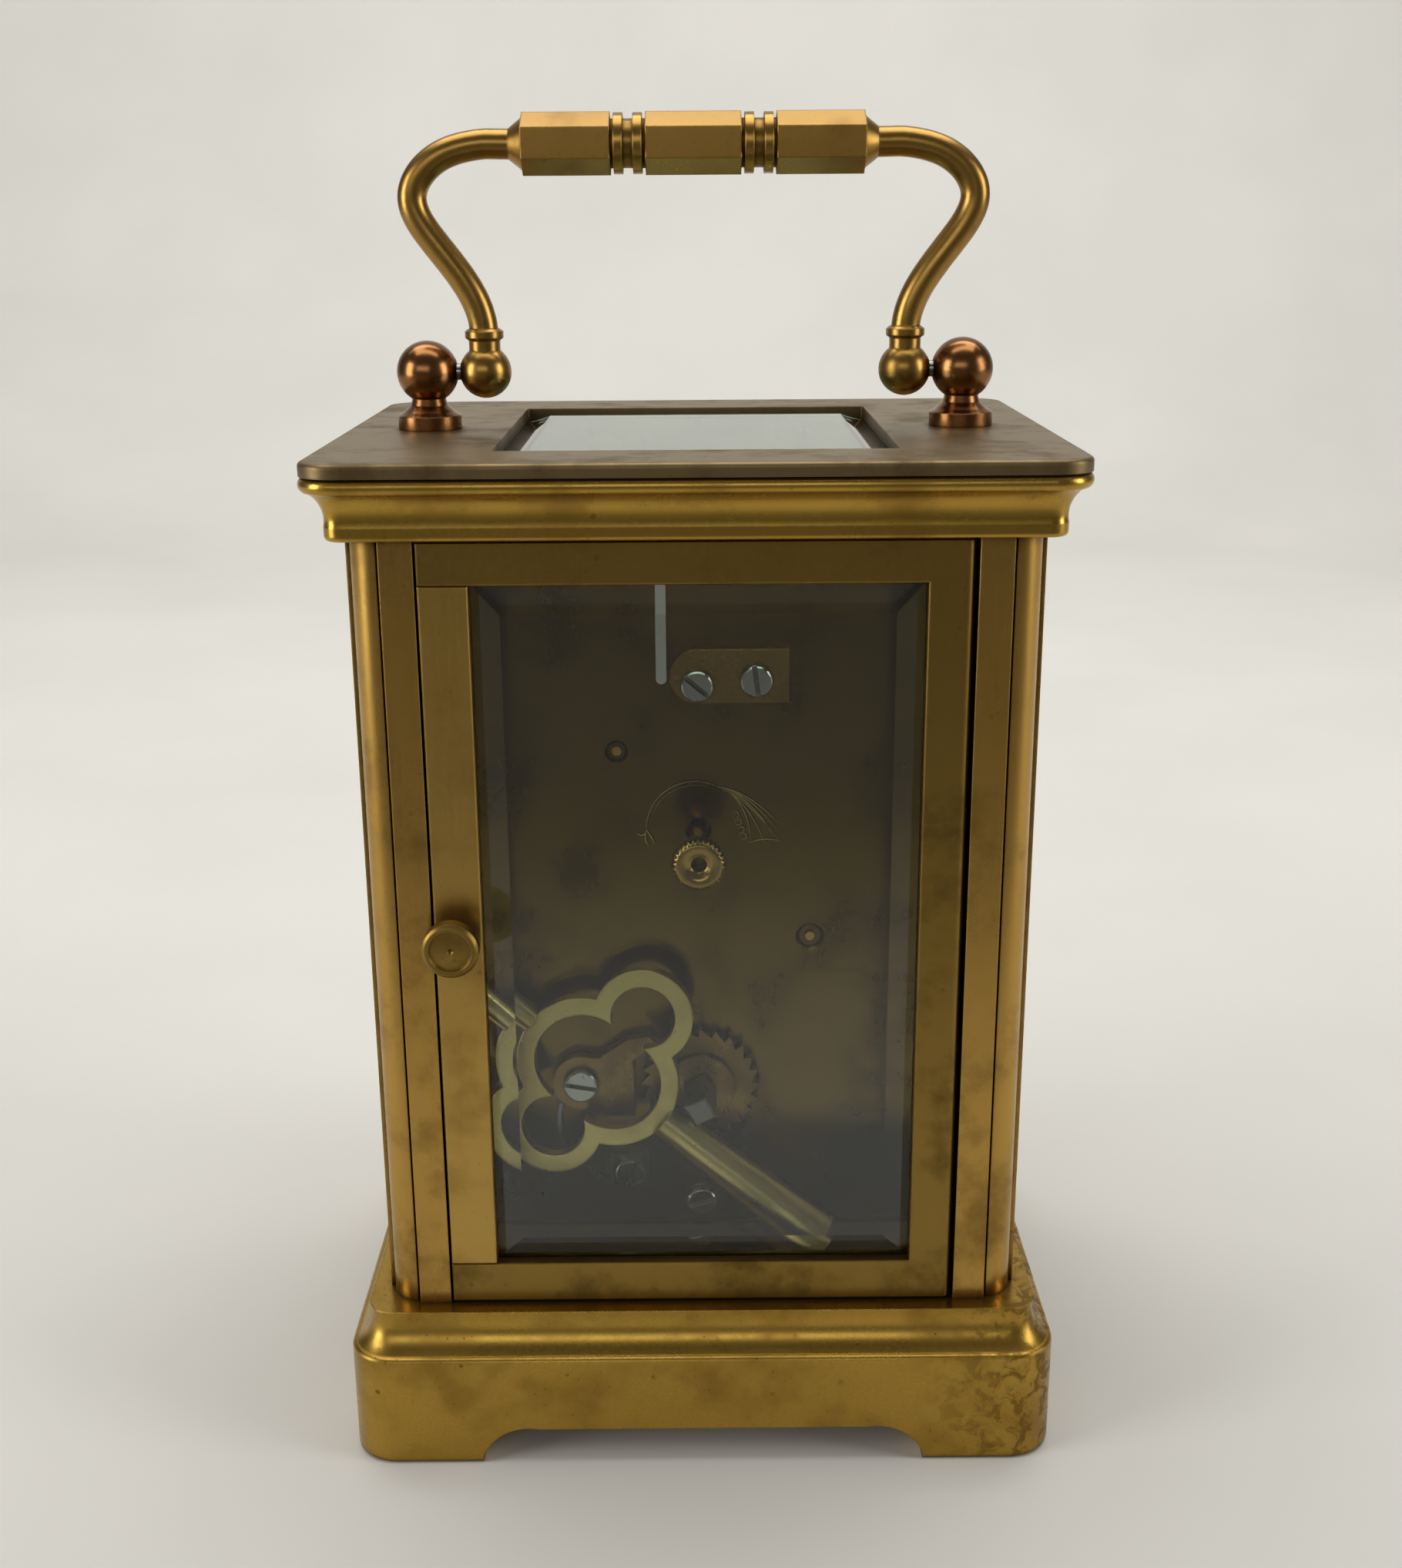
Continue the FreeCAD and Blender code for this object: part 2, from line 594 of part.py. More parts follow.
def crossings(centre, y0, y1, outer, inner, arms, phase=0.0, arm_width=1.2):
    """Tool that opens a wheel between its rim and hub, leaving straight arms."""
    x, z = centre
    ring = arbor(x, z, y0 - 1, y1 + 1, outer).cut(arbor(x, z, y0 - 2, y1 + 2, inner))
    for k in range(arms):
        arm = block(x, x + outer + 1, y0 - 2, y1 + 2, z - arm_width / 2, z + arm_width / 2)
        arm.rotate(V(x, 0, z), BACK, math.degrees(phase) + 360 * k / arms)
        ring = ring.cut(arm)
    return ring


def wheel(centre, y0, y1, teeth, module, phase=0.0, arms=4):
    pitch = teeth * module / 2
    disc = gear(centre, y0, y1, teeth, module, phase)
    return disc.cut(crossings(centre, y0, y1, pitch - 2.6 * module, pitch * 0.24, arms))


def pivoted(centre, radius, y0=plate_front_y + 0.2, y1=back_plate_y - 0.2):
    """Steel arbor that runs between the plates with a thin pivot at each end."""
    x, z = centre
    body = arbor(x, z, front_plate_y + gap, back_plate_y - plate_thickness - gap, radius)
    return body.fuse(arbor(x, z, y0, y1, pivot_radius))


barrel_at = (0.0, barrel_height)
centre_at = (0.0, centre_height)
intermediate_at = (intermediate_x, intermediate_z)
third_at = (third_x, third_z)
contrate_at = (contrate_x, contrate_z)
set_radius = 0.9
arbor_radius = 2.0

# ---------------------------------------------------------------- plates and pillars
plate_low = base_height
pillar_zs = (movement_pillar_z, plate_top - 4.6)
pillar_places = [(sx * movement_pillar_x, z) for sx in (-1, 1) for z in pillar_zs]
foot_screw = 1.0
inner_y = back_plate_y - plate_thickness
click_at = (14.1, 37.7)
spring_screw_at = (8.5, 25.9)
spare_screw_at = (-0.1, 21.2)
end_plate_screws = ((0.05, 85.95), (-6.55, 86.5))
small_screw = 0.8


def clock_plate(y0, y1):
    plate = block(-plate_half_width, plate_half_width, y0, y1, plate_low, plate_top)
    upper = [e for e in plate.Edges
             if e.BoundBox.ZMin > plate_top - 0.01 and e.Length < plate_thickness + 0.1]
    plate = plate.makeFillet(2.0, upper)
    for at in (intermediate_at, third_at, contrate_at):
        plate = plate.cut(arbor(*at, y0 - 1, y1 + 1, pivot_radius + running_fit))
    return plate


back_plate = clock_plate(inner_y, back_plate_y)
back_plate = back_plate.cut(arbor(*barrel_at, inner_y - 1, back_plate_y + 1, arbor_radius + running_fit))
back_plate = back_plate.cut(arbor(*centre_at, inner_y - 1, back_plate_y + 1, set_radius + 0.6))
for at, sink in ((third_at, 1.36), (intermediate_at, 1.7)):
    cone = Part.makeCone(sink * 0.72, sink, 0.6, V(at[0], back_plate_y - 0.6, at[1]), BACK)
    back_plate = back_plate.cut(cone)
for at in (click_at, spring_screw_at, spare_screw_at) + end_plate_screws:
    back_plate = back_plate.cut(arbor(*at, inner_y - 1, back_plate_y + 1, small_screw))
parts["back_plate"] = back_plate

front_plate = clock_plate(plate_front_y, front_plate_y)
front_plate = front_plate.cut(arbor(*barrel_at, -99, 0, 1.5 + running_fit))
front_plate = front_plate.cut(arbor(*centre_at, -99, 0, 1.2 + running_fit))
minute_angle = math.radians(225)
minute_at = (centre_at[0] + motion_distance * math.cos(minute_angle),
             centre_at[1] + motion_distance * math.sin(minute_angle))
for at in pillar_places:
    front_plate = front_plate.cut(arbor(*at, -99, 0, foot_screw + fit))
parts["front_plate"] = front_plate

pillars = []
for at in pillar_places:
    bar = arbor(*at, front_plate_y, inner_y, movement_pillar_radius)
    bar = bar.cut(arbor(*at, front_plate_y - 1, front_plate_y + 6, foot_screw))
    if at[1] < barrel_height:
        bar = bar.cut(upright(at[0], seat_y, 0, at[1], foot_screw))
    pillars.append(bar)
parts["movement_pillars"] = Part.makeCompound(pillars)
parts["front_plate_screws"] = Part.makeCompound([
    placed(screw(foot_screw, plate_thickness + 5, 1.9, 1.1), (0, -1, 0), (at[0], plate_front_y, at[1]), 40)
    for at in pillar_places])
parts["movement_seat_screws"] = Part.makeCompound([
    placed(screw(foot_screw, movement_pillar_z - floor_z - 0.5, 1.9, 1.1), (0, 0, -1),
           (sx * movement_pillar_x, seat_y, floor_z), 20)
    for sx in (-1, 1)])

# end plate over the contrate wheel's rear pivot, and the small steel screws of the back plate
end_thickness = 1.2
low, high, left, right = 83.9, 90.0, -10.2, 0.05
end_plate = block(left, right, back_plate_y, back_plate_y + end_thickness, low, high)
end_plate = end_plate.fuse(arbor(right, (low + high) / 2, back_plate_y, back_plate_y + end_thickness,
                                 (high - low) / 2)).removeSplitter()
for at in end_plate_screws:
    end_plate = end_plate.cut(arbor(*at, back_plate_y - 1, back_plate_y + 9, small_screw))
end_plate = end_plate.cut(arbor(*contrate_at, 0, back_plate_y + 0.4, pivot_radius + running_fit))
parts["contrate_end_plate"] = end_plate

# ---------------------------------------------------------------- mainspring, barrel and winding work
barrel_module = mesh_module(barrel_at, intermediate_at, barrel_teeth, intermediate_leaves)
centre_module = mesh_module(centre_at, intermediate_at, pinion_leaves, wheel_teeth)
centre_pinion_phase = 0.0
intermediate_phase = mesh_phase(centre_at, intermediate_at, pinion_leaves, wheel_teeth, centre_pinion_phase)
intermediate_pinion_phase = 0.0
barrel_phase = mesh_phase(intermediate_at, barrel_at, intermediate_leaves, barrel_teeth,
                          intermediate_pinion_phase)
barrel_y0, great_y0, great_y1 = -9.5, 1.0, 3.0
barrel_wall = 1.2
drum_radius = barrel_teeth * barrel_module / 2 - 1.0 * barrel_module - 0.6
drum = arbor(*barrel_at, barrel_y0, great_y0, drum_radius)
drum = drum.fuse(gear(barrel_at, great_y0, great_y1, barrel_teeth, barrel_module, barrel_phase))
drum = drum.cut(arbor(*barrel_at, barrel_y0 - 1, great_y0, drum_radius - barrel_wall))
drum = drum.cut(arbor(*barrel_at, -20, 20, arbor_radius + running_fit))
parts["mainspring_barrel"] = drum
cover_y1 = barrel_y0 + 1.2
cover = arbor(*barrel_at, barrel_y0, cover_y1, drum_radius - barrel_wall - 0.02)
parts["barrel_cover"] = cover.cut(arbor(*barrel_at, -20, 20, arbor_radius + running_fit))


def ribbon_spiral(centre, r0, pitch, turns, thickness, start, depth, flat):
    """Spiral ribbon of half-turn arcs about two centres half a pitch apart, extruded to its width."""
    step = pitch / 2
    loops = []
    for side in (0.0, thickness):
        edges = []
        radius, sign = r0 + side, 1
        x = centre[0]
        for k in range(int(2 * turns)):
            cx = x + (step if sign < 0 else 0.0)
            a = V(cx + sign * radius, 0, centre[1])
            b = V(cx - sign * radius, 0, centre[1])
            edges.append(Part.Arc(a, V(cx, 0, centre[1] + sign * radius), b).toShape())
            radius += step
            sign = -sign
        loops.append(edges)
    inner, outer = loops
    first = Part.LineSegment(inner[0].firstVertex(True).Point, outer[0].firstVertex(True).Point).toShape()
    last = Part.LineSegment(inner[-1].lastVertex(True).Point, outer[-1].lastVertex(True).Point).toShape()
    face = Part.Face(Part.Wire(Part.__sortEdges__(inner + outer + [first, last])))
    if flat:
        face.rotate(V(centre[0], 0, centre[1]), RIGHT, 90)
        face.translate(V(0, start, 0))
        return face.extrude(V(0, 0, depth))
    face.translate(V(0, start, 0))
    return face.extrude(V(0, depth, 0))


hub_radius = 3.6
parts["mainspring"] = ribbon_spiral(barrel_at, hub_radius + 0.6, 1.1, 9, 0.45, cover_y1 + 0.4,
                                    great_y0 - cover_y1 - 0.8, False)
winding = arbor(*barrel_at, plate_front_y + 0.2, front_plate_y, 1.5)
winding = winding.fuse(arbor(*barrel_at, front_plate_y, back_plate_y + 0.2, arbor_radius))
winding = winding.fuse(arbor(*barrel_at, cover_y1 + 0.3, great_y0 - 0.3, hub_radius))
square_end = back_plate_y + winding_reach
half_square = winding_square / 2
square = block(-half_square, half_square, back_plate_y + 0.2, square_end,
               barrel_height - half_square, barrel_height + half_square)
square = square.makeChamfer(0.25, [e for e in square.Edges if e.BoundBox.YMin > square_end - 0.01])
square.rotate(V(0, 0, barrel_height), BACK, 28)
parts["winding_arbor"] = winding.fuse(square).removeSplitter()

ratchet_y0, ratchet_y1, boss_y1 = back_plate_y + 0.4, back_plate_y + 1.7, back_plate_y + 2.5
points = []
for k in range(ratchet_teeth):
    a = 2 * math.pi * k / ratchet_teeth
    b = a + 2 * math.pi * 0.86 / ratchet_teeth
    points.append((ratchet_radius * math.cos(a), ratchet_y0, barrel_height + ratchet_radius * math.sin(a)))
    points.append((ratchet_radius * 0.86 * math.cos(b), ratchet_y0,
                   barrel_height + ratchet_radius * 0.86 * math.sin(b)))
ratchet = face_of(points).extrude(V(0, ratchet_y1 - ratchet_y0, 0))
ratchet = ratchet.fuse(arbor(*barrel_at, ratchet_y1, boss_y1, 4.0)).removeSplitter()
seat = block(-half_square - 0.03, half_square + 0.03, 0, 30, barrel_height - half_square - 0.03,
             barrel_height + half_square + 0.03)
seat.rotate(V(0, 0, barrel_height), BACK, 28)
parts["ratchet_wheel"] = ratchet.cut(seat)

# click: an eye on its shoulder screw, a broad body and a beak just clear of the ratchet's tips
click_y0, click_y1 = back_plate_y + 0.4, back_plate_y + 1.8
beak = ratchet_radius + 0.3
body = face_of([(11.6, click_y0, 33.4), (7.7, click_y0, 33.4), (8.0, click_y0, 40.6),
                (beak * math.cos(math.radians(46)), click_y0,
                 barrel_height + beak * math.sin(math.radians(46))),
                (6.0, click_y0, 43.6), (8.6, click_y0, 43.2), (11.6, click_y0, 41.2)])
click = body.extrude(V(0, click_y1 - click_y0, 0))
click = click.fuse(arbor(*click_at, click_y0, click_y1, 3.4))
click = click.fuse(block(11.0, 14.1, click_y0, click_y1, 34.5, 40.9)).removeSplitter()
click_bore = 1.2
parts["click"] = click.cut(arbor(*click_at, 0, 30, click_bore + running_fit))
shoulder_screw = arbor(*click_at, back_plate_y, click_y1 + 0.15, click_bore)
click_head = placed(screw(small_screw, plate_thickness + click_y1 - back_plate_y - 0.1, 1.97, 1.0), (0, 1, 0),
                    (click_at[0], click_y1 + 0.15, click_at[1]), 170)
parts["click_screw"] = click_head.fuse(shoulder_screw)

sx, sz = spring_screw_at
spring_y1 = back_plate_y + 1.4
foot = block(sx - 2.4, sx + 2.4, back_plate_y, spring_y1, sz - 1.9, sz + 1.9)
leaf_edges = []
for inset in (0.0, 0.45):
    a = V(sx + 2.3, 0, sz - 1.6 + inset)
    m = V(sx + 7.2 - inset, 0, sz + 2.0 + inset * 0.5)
    b = V(sx + 8.3 - inset, 0, sz + 9.0)
    leaf_edges.append(Part.Arc(a, m, b).toShape())
ends = [Part.LineSegment(leaf_edges[0].Vertexes[i].Point, leaf_edges[1].Vertexes[i].Point).toShape()
        for i in (0, 1)]
leaf = Part.Face(Part.Wire(Part.__sortEdges__(leaf_edges + ends)))
leaf.translate(V(0, back_plate_y + 0.5, 0))
click_spring = foot.fuse(leaf.extrude(V(0, 0.9, 0))).removeSplitter()
parts["click_spring"] = click_spring.cut(arbor(sx, sz, 0, 30, small_screw))
end_y1 = back_plate_y + end_thickness
parts["back_plate_screws"] = Part.makeCompound([
    placed(screw(small_screw, 1.6 + face_y - back_plate_y, 1.76, 0.9), (0, 1, 0),
           (at[0], face_y, at[1]), spin)
    for at, face_y, spin in ((spring_screw_at, spring_y1, 60), (spare_screw_at, back_plate_y, 15),
                             (end_plate_screws[0], end_y1, 140), (end_plate_screws[1], end_y1, 98))])

# ---------------------------------------------------------------- going train
inter = pivoted(intermediate_at, 1.1)
inter = inter.fuse(gear(intermediate_at, great_y0 - 0.4, great_y1 + 0.4, intermediate_leaves, barrel_module,
                        intermediate_pinion_phase))
inter_y0 = 5.0
inter = inter.fuse(wheel(intermediate_at, inter_y0, inter_y0 + 1.2, wheel_teeth, centre_module,
                         intermediate_phase, 5))
parts["intermediate_wheel"] = inter.removeSplitter()

third_module = mesh_module(centre_at, third_at, wheel_teeth, pinion_leaves)
contrate_module = mesh_module(third_at, contrate_at, wheel_teeth, pinion_leaves)
centre_wheel_y, third_wheel_y, contrate_y = -9.0, -4.0, 1.0
third_pinion_phase = mesh_phase(centre_at, third_at, wheel_teeth, pinion_leaves, 0.0)
contrate_pinion_phase = mesh_phase(third_at, contrate_at, wheel_teeth, pinion_leaves, 0.0)

cannon_y0 = plate_front_y - 1.9
hand_front = dial_y - dial_thickness - 3.9
centre = arbor(*centre_at, front_plate_y + gap, inner_y - gap, 1.3)
centre = centre.fuse(arbor(*centre_at, plate_front_y - 0.3, front_plate_y + gap, 1.2))
centre = centre.fuse(arbor(*centre_at, hand_front - 1.0, plate_front_y - 0.3, 0.7))
centre = centre.fuse(arbor(*centre_at, inner_y - gap, back_plate_y + set_knob_reach - 2.6, set_radius))
centre = centre.fuse(gear(centre_at, inter_y0 - 0.4, inter_y0 + 1.6, pinion_leaves, centre_module,
                          centre_pinion_phase))
centre = centre.fuse(wheel(centre_at, centre_wheel_y, centre_wheel_y + 1.0, wheel_teeth, third_module))
parts["centre_wheel"] = centre.removeSplitter()

third = pivoted(third_at, 0.9)
third = third.fuse(gear(third_at, centre_wheel_y - 0.4, centre_wheel_y + 1.4, pinion_leaves, third_module,
                        third_pinion_phase))
third = third.fuse(wheel(third_at, third_wheel_y, third_wheel_y + 0.9, wheel_teeth, contrate_module))
parts["third_wheel"] = third.removeSplitter()

contrate_tooth, contrate_length, contrate_head = 0.32, 1.4, 0.4
rim_half = 0.6
crown = pivoted(contrate_at, 0.8)
crown = crown.fuse(gear(contrate_at, third_wheel_y - 0.4, third_wheel_y + 1.3, pinion_leaves, contrate_module,
                        contrate_pinion_phase))
disc = arbor(*contrate_at, contrate_y, contrate_y + 0.9, contrate_radius + rim_half)
disc = disc.cut(crossings(contrate_at, contrate_y, contrate_y + 0.9, contrate_radius - 1.2, 2.4, 4))
crown = crown.fuse(disc)
teeth = []
for k in range(contrate_teeth):
    tooth = block(contrate_x - contrate_tooth / 2, contrate_x + contrate_tooth / 2,
                  contrate_y - contrate_length, contrate_y + 0.2,
                  contrate_z + contrate_radius - rim_half, contrate_z + contrate_radius + rim_half - 0.1)
    tooth.rotate(V(contrate_x, 0, contrate_z), BACK, 360 * k / contrate_teeth)
    teeth.append(tooth)
parts["contrate_wheel"] = crown.fuse(teeth).removeSplitter()

# ---------------------------------------------------------------- motion work, knob and hands
cannon_module = 2 * motion_distance / (cannon_leaves + minute_teeth)
hour_module = 2 * motion_distance / (minute_leaves + hour_teeth)
minute_phase = mesh_phase(centre_at, minute_at, cannon_leaves, minute_teeth, 0.0)
hour_phase = mesh_phase(minute_at, centre_at, minute_leaves, hour_teeth, 0.0)
hour_y0 = cannon_y0 - 1.4
pipe_radius = 1.2
cannon = gear(centre_at, cannon_y0, plate_front_y - 0.4, cannon_leaves, cannon_module)
cannon = cannon.fuse(arbor(*centre_at, hand_front, cannon_y0 + 0.1, pipe_radius))
cannon = cannon.cut(arbor(*centre_at, -99, 0, 0.72))
parts["cannon_pinion"] = cannon.removeSplitter()

minute_pipe = arbor(*minute_at, hour_y0 - 0.2, plate_front_y - 0.35, 1.3)
minute_wheel = minute_pipe.fuse(gear(minute_at, cannon_y0 + 0.5, cannon_y0 + 1.2, minute_teeth, cannon_module,
                                     minute_phase))
minute_wheel = minute_wheel.fuse(gear(minute_at, hour_y0 - 0.2, cannon_y0 + 0.1, minute_leaves, hour_module))
stud_radius = 0.6
minute_bore = arbor(*minute_at, -99, 0, stud_radius + running_fit)
parts["minute_wheel"] = minute_wheel.cut(minute_bore).removeSplitter()
stud = arbor(*minute_at, hour_y0 - 0.35, plate_front_y + 0.1, stud_radius)
parts["front_plate"] = parts["front_plate"].fuse(stud).removeSplitter()

hour_front = dial_y - dial_thickness - 2.0
hour_wheel = gear(centre_at, hour_y0, hour_y0 + 0.8, hour_teeth, hour_module, hour_phase)
hour_wheel = hour_wheel.fuse(arbor(*centre_at, hour_front, hour_y0 + 0.1, 1.9))
parts["hour_wheel"] = hour_wheel.cut(arbor(*centre_at, -99, 0, pipe_radius + running_fit)).removeSplitter()

knob_y1 = back_plate_y + set_knob_reach
knob_y0 = knob_y1 - 2.6
notches = 28
rim_points = []
for k in range(2 * notches):
    r = set_knob_radius - (0.22 if k % 2 else 0.0)
    a = math.pi * k / notches
    rim_points.append((r * math.cos(a), knob_y0, centre_height + r * math.sin(a)))
set_knob = face_of(rim_points).extrude(V(0, knob_y1 - knob_y0, 0))
set_knob = set_knob.fuse(arbor(*centre_at, knob_y0 - 1.4, knob_y0, 1.5))
set_knob = set_knob.cut(arbor(*centre_at, knob_y0 - 2, knob_y0, set_radius))
socket = block(-0.75, 0.75, knob_y1 - 1.8, knob_y1 + 1, centre_height - 0.75, centre_height + 0.75)
socket.rotate(V(0, 0, centre_height), BACK, 20)
parts["hand_setting_knob"] = set_knob.cut(socket)


def hand(length, y0, thickness, boss, bore, ring_at_radius, ring_size):
    """Breguet-style hand pointing up: boss, tapering shank, moon ring and a fine tip."""
    x, z = centre_at
    y1 = y0 + thickness
    shape = arbor(x, z, y0, y1, boss)
    tip = [(x - 0.55, y0, z), (x + 0.55, y0, z), (x + 0.38, y0, z + ring_at_radius),
           (x - 0.38, y0, z + ring_at_radius)]
    shape = shape.fuse(face_of(tip).extrude(V(0, thickness, 0)))
    point = [(x - 0.45, y0, z + ring_at_radius), (x + 0.45, y0, z + ring_at_radius),
             (x + 0.08, y0, z + length),
             (x - 0.08, y0, z + length)]
    shape = shape.fuse(face_of(point).extrude(V(0, thickness, 0)))
    moon = (x, z + ring_at_radius)
    shape = shape.fuse(arbor(*moon, y0, y1, ring_size)).cut(arbor(moon[0], moon[1] + 0.25, y0 - 1, y1 + 1,
                                                                  ring_size - 0.6))
    return shape.cut(arbor(x, z, y0 - 1, y1 + 1, bore)).removeSplitter()


hour_hand = hand(hour_hand_length, hour_front - 0.1, 0.45, 2.7, 1.9, 8.6, 1.7)
hour_hand.rotate(V(0, 0, centre_height), BACK, -60)
parts["hour_hand"] = hour_hand
minute_hand = hand(minute_hand_length, hand_front + 0.3, 0.45, 2.2, pipe_radius, 13.6, 1.35)
minute_hand.rotate(V(0, 0, centre_height), BACK, 60)
parts["minute_hand"] = minute_hand
nut = arbor(*centre_at, hand_front - 0.6, hand_front, 1.3).cut(arbor(*centre_at, -99, 0, 0.7))
parts["hand_nut"] = nut

# ---------------------------------------------------------------- dial
dial_z0 = base_height + 1.5
dial = block(-dial_width / 2, dial_width / 2, dial_y - dial_thickness, dial_y, dial_z0, dial_z0 + dial_height)
dial = dial.cut(arbor(*centre_at, -99, 0, 2.4))
dial_foot_places = [(sx * 22.0, z) for sx in (-1, 1) for z in (dial_z0 + 16, dial_z0 + dial_height - 16)]
for at in dial_foot_places:
    dial = dial.fuse(arbor(*at, dial_y - 0.1, plate_front_y, 0.9))
parts["dial"] = dial.removeSplitter()

# ---------------------------------------------------------------- platform escapement
platform_z0, platform_z1 = plate_top, plate_top + 1.6
platform_x = 14.0
pinion_pitch = contrate_radius * escape_leaves / contrate_teeth
escape_at = (contrate_x, contrate_y - contrate_length + contrate_head - pinion_pitch)
balance_at = (4.0, -9.0)
reach = direction(escape_at, balance_at)
lever_at = (escape_at[0] + 4.9 * math.cos(reach), escape_at[1] + 4.9 * math.sin(reach))
staff_pivot = 0.3
platform = block(-platform_x, platform_x, plate_front_y, back_plate_y, platform_z0, platform_z1)
upright_edges = [e for e in platform.Edges if abs(e.tangentAt(e.FirstParameter).z) > 0.99]
platform = platform.makeFillet(1.5, upright_edges)
platform = platform.cut(upright(*escape_at, 0, 200, 1.9))
for at in (lever_at, balance_at):
    platform = platform.cut(upright(*at, platform_z1 - 1.1, 200, staff_pivot + running_fit))
platform_screw_places = [(sx * 11.5, y) for sx in (-1, 1)
                         for y in (back_plate_y - plate_thickness / 2, plate_front_y + plate_thickness / 2)]
platform_screw = 0.55
for x, y in platform_screw_places:
    platform = platform.cut(upright(x, y, 0, 200, platform_screw + 0.02))
parts["platform_plate"] = platform
for name in ("back_plate", "front_plate"):
    for x, y in platform_screw_places:
        parts[name] = parts[name].cut(upright(x, y, plate_top - 4, plate_top + 1, platform_screw))
parts["platform_screws"] = Part.makeCompound([
    placed(screw(platform_screw, 5.0, 1.1, 0.7, 0.3), (0, 0, 1), (x, y, platform_z1), 35)
    for x, y in platform_screw_places])

escape_z = platform_z1 + 0.7
pinion_top = platform_z0 - 0.6
escape_radius = 3.2
leaf_outer, leaf_core = 1.7, 0.75
points = []
for k in range(escape_teeth):
    a = 2 * math.pi * k / escape_teeth
    for r, turn in ((2.3, 0.0), (escape_radius, 0.10), (escape_radius - 0.12, 0.19), (2.3, 0.12)):
        points.append((escape_at[0] + r * math.cos(a + turn),
                       escape_at[1] + r * math.sin(a + turn), escape_z))
escape = face_of(points).extrude(V(0, 0, 0.4))
ring = upright(*escape_at, escape_z - 1, escape_z + 1, 1.9).cut(upright(*escape_at, 0, 200, 0.9))
for k in range(4):
    arm = block(escape_at[0], escape_at[0] + 3, escape_at[1] - 0.2, escape_at[1] + 0.2,
                escape_z - 2, escape_z + 2)
    arm.rotate(V(*escape_at, 0), UP, 90 * k)
    ring = ring.cut(arm)
escape = escape.cut(ring)
pinion_low = contrate_z + contrate_radius - rim_half - 1.2
escape = escape.fuse(upright(*escape_at, pinion_low, escape_z + 0.9, leaf_core))
escape = escape.fuse(upright(*escape_at, pinion_low - 1.0, escape_z + 1.5, staff_pivot))
for k in range(escape_leaves):
    leaf = block(escape_at[0], escape_at[0] + leaf_outer,
                 escape_at[1] - contrate_tooth / 2, escape_at[1] + contrate_tooth / 2,
                 pinion_low, pinion_top)
    leaf.rotate(V(*escape_at, 0), UP, 90 + 360 * (k + 0.5) / escape_leaves)
    escape = escape.fuse(leaf)
parts["escape_wheel"] = escape.removeSplitter()

# lower cock under the escape pinion, fixed to the inside of the platform
cock_z1 = pinion_low - 0.4
potence = block(escape_at[0] - 1.6, escape_at[0] + 1.6, escape_at[1] - 6.0, escape_at[1] + 1.2,
                cock_z1 - 1.2, cock_z1)
potence = potence.fuse(block(escape_at[0] - 1.6, escape_at[0] + 1.6, escape_at[1] - 6.0, escape_at[1] - 3.6,
                             cock_z1 - 1.2, platform_z0)).removeSplitter()
potence = potence.cut(upright(*escape_at, 0, cock_z1 + 1, staff_pivot + running_fit))
parts["platform_plate"] = platform.fuse(potence).removeSplitter()

bridge_z0, bridge_z1 = escape_z + 1.0, escape_z + 1.7
ex, ey = escape_at
lx, ly = lever_at
bridge = face_of([(x, y, bridge_z0) for x, y in (
    (ex - 5.4, ey + 2.6), (ex - 5.4, ey - 0.6), (lx - 1.0, ly - 1.0), (lx + 1.4, ly + 0.6),
    (ex + 5.4, ey + 1.2), (ex + 5.4, ey + 3.4))])
bridge = bridge.extrude(V(0, 0, bridge_z1 - bridge_z0))
for dx, dy in ((-4.7, 1.0), (4.7, 2.3)):
    bridge = bridge.fuse(upright(ex + dx, ey + dy, platform_z1, bridge_z0 + 0.1, 0.7))
for at in (escape_at, lever_at):
    bridge = bridge.cut(upright(*at, 0, 200, staff_pivot + running_fit))
parts["escapement_bridge"] = bridge.removeSplitter()

# lever: pallet arms either side of the escape wheel and a fork towards the balance staff
lever = upright(*lever_at, escape_z, escape_z + 0.5, 0.8)
lever = lever.fuse(upright(*lever_at, platform_z1 - 0.9, bridge_z1 - 0.1, staff_pivot))
for side in (-1, 1):
    angle = reach + side * math.radians(32)
    tip = (escape_at[0] + (escape_radius + 0.55) * math.cos(angle),
           escape_at[1] + (escape_radius + 0.55) * math.sin(angle))
    arm = block(0, distance(lever_at, tip), -0.3, 0.3, escape_z, escape_z + 0.5)
    arm.rotate(V(0, 0, 0), UP, math.degrees(direction(lever_at, tip)))
    arm.translate(V(*lever_at, 0))
    lever = lever.fuse([arm, upright(*tip, escape_z, escape_z + 0.5, 0.3)])
fork = block(0, 2.3, -0.25, 0.25, escape_z, escape_z + 0.5)
fork = fork.fuse(block(1.9, 2.5, -0.6, 0.6, escape_z, escape_z + 0.5)).cut(
    block(2.2, 2.6, -0.2, 0.2, escape_z - 1, escape_z + 1))
fork.rotate(V(0, 0, 0), UP, math.degrees(reach))
fork.translate(V(*lever_at, 0))
parts["pallet_lever"] = lever.fuse(fork).removeSplitter()

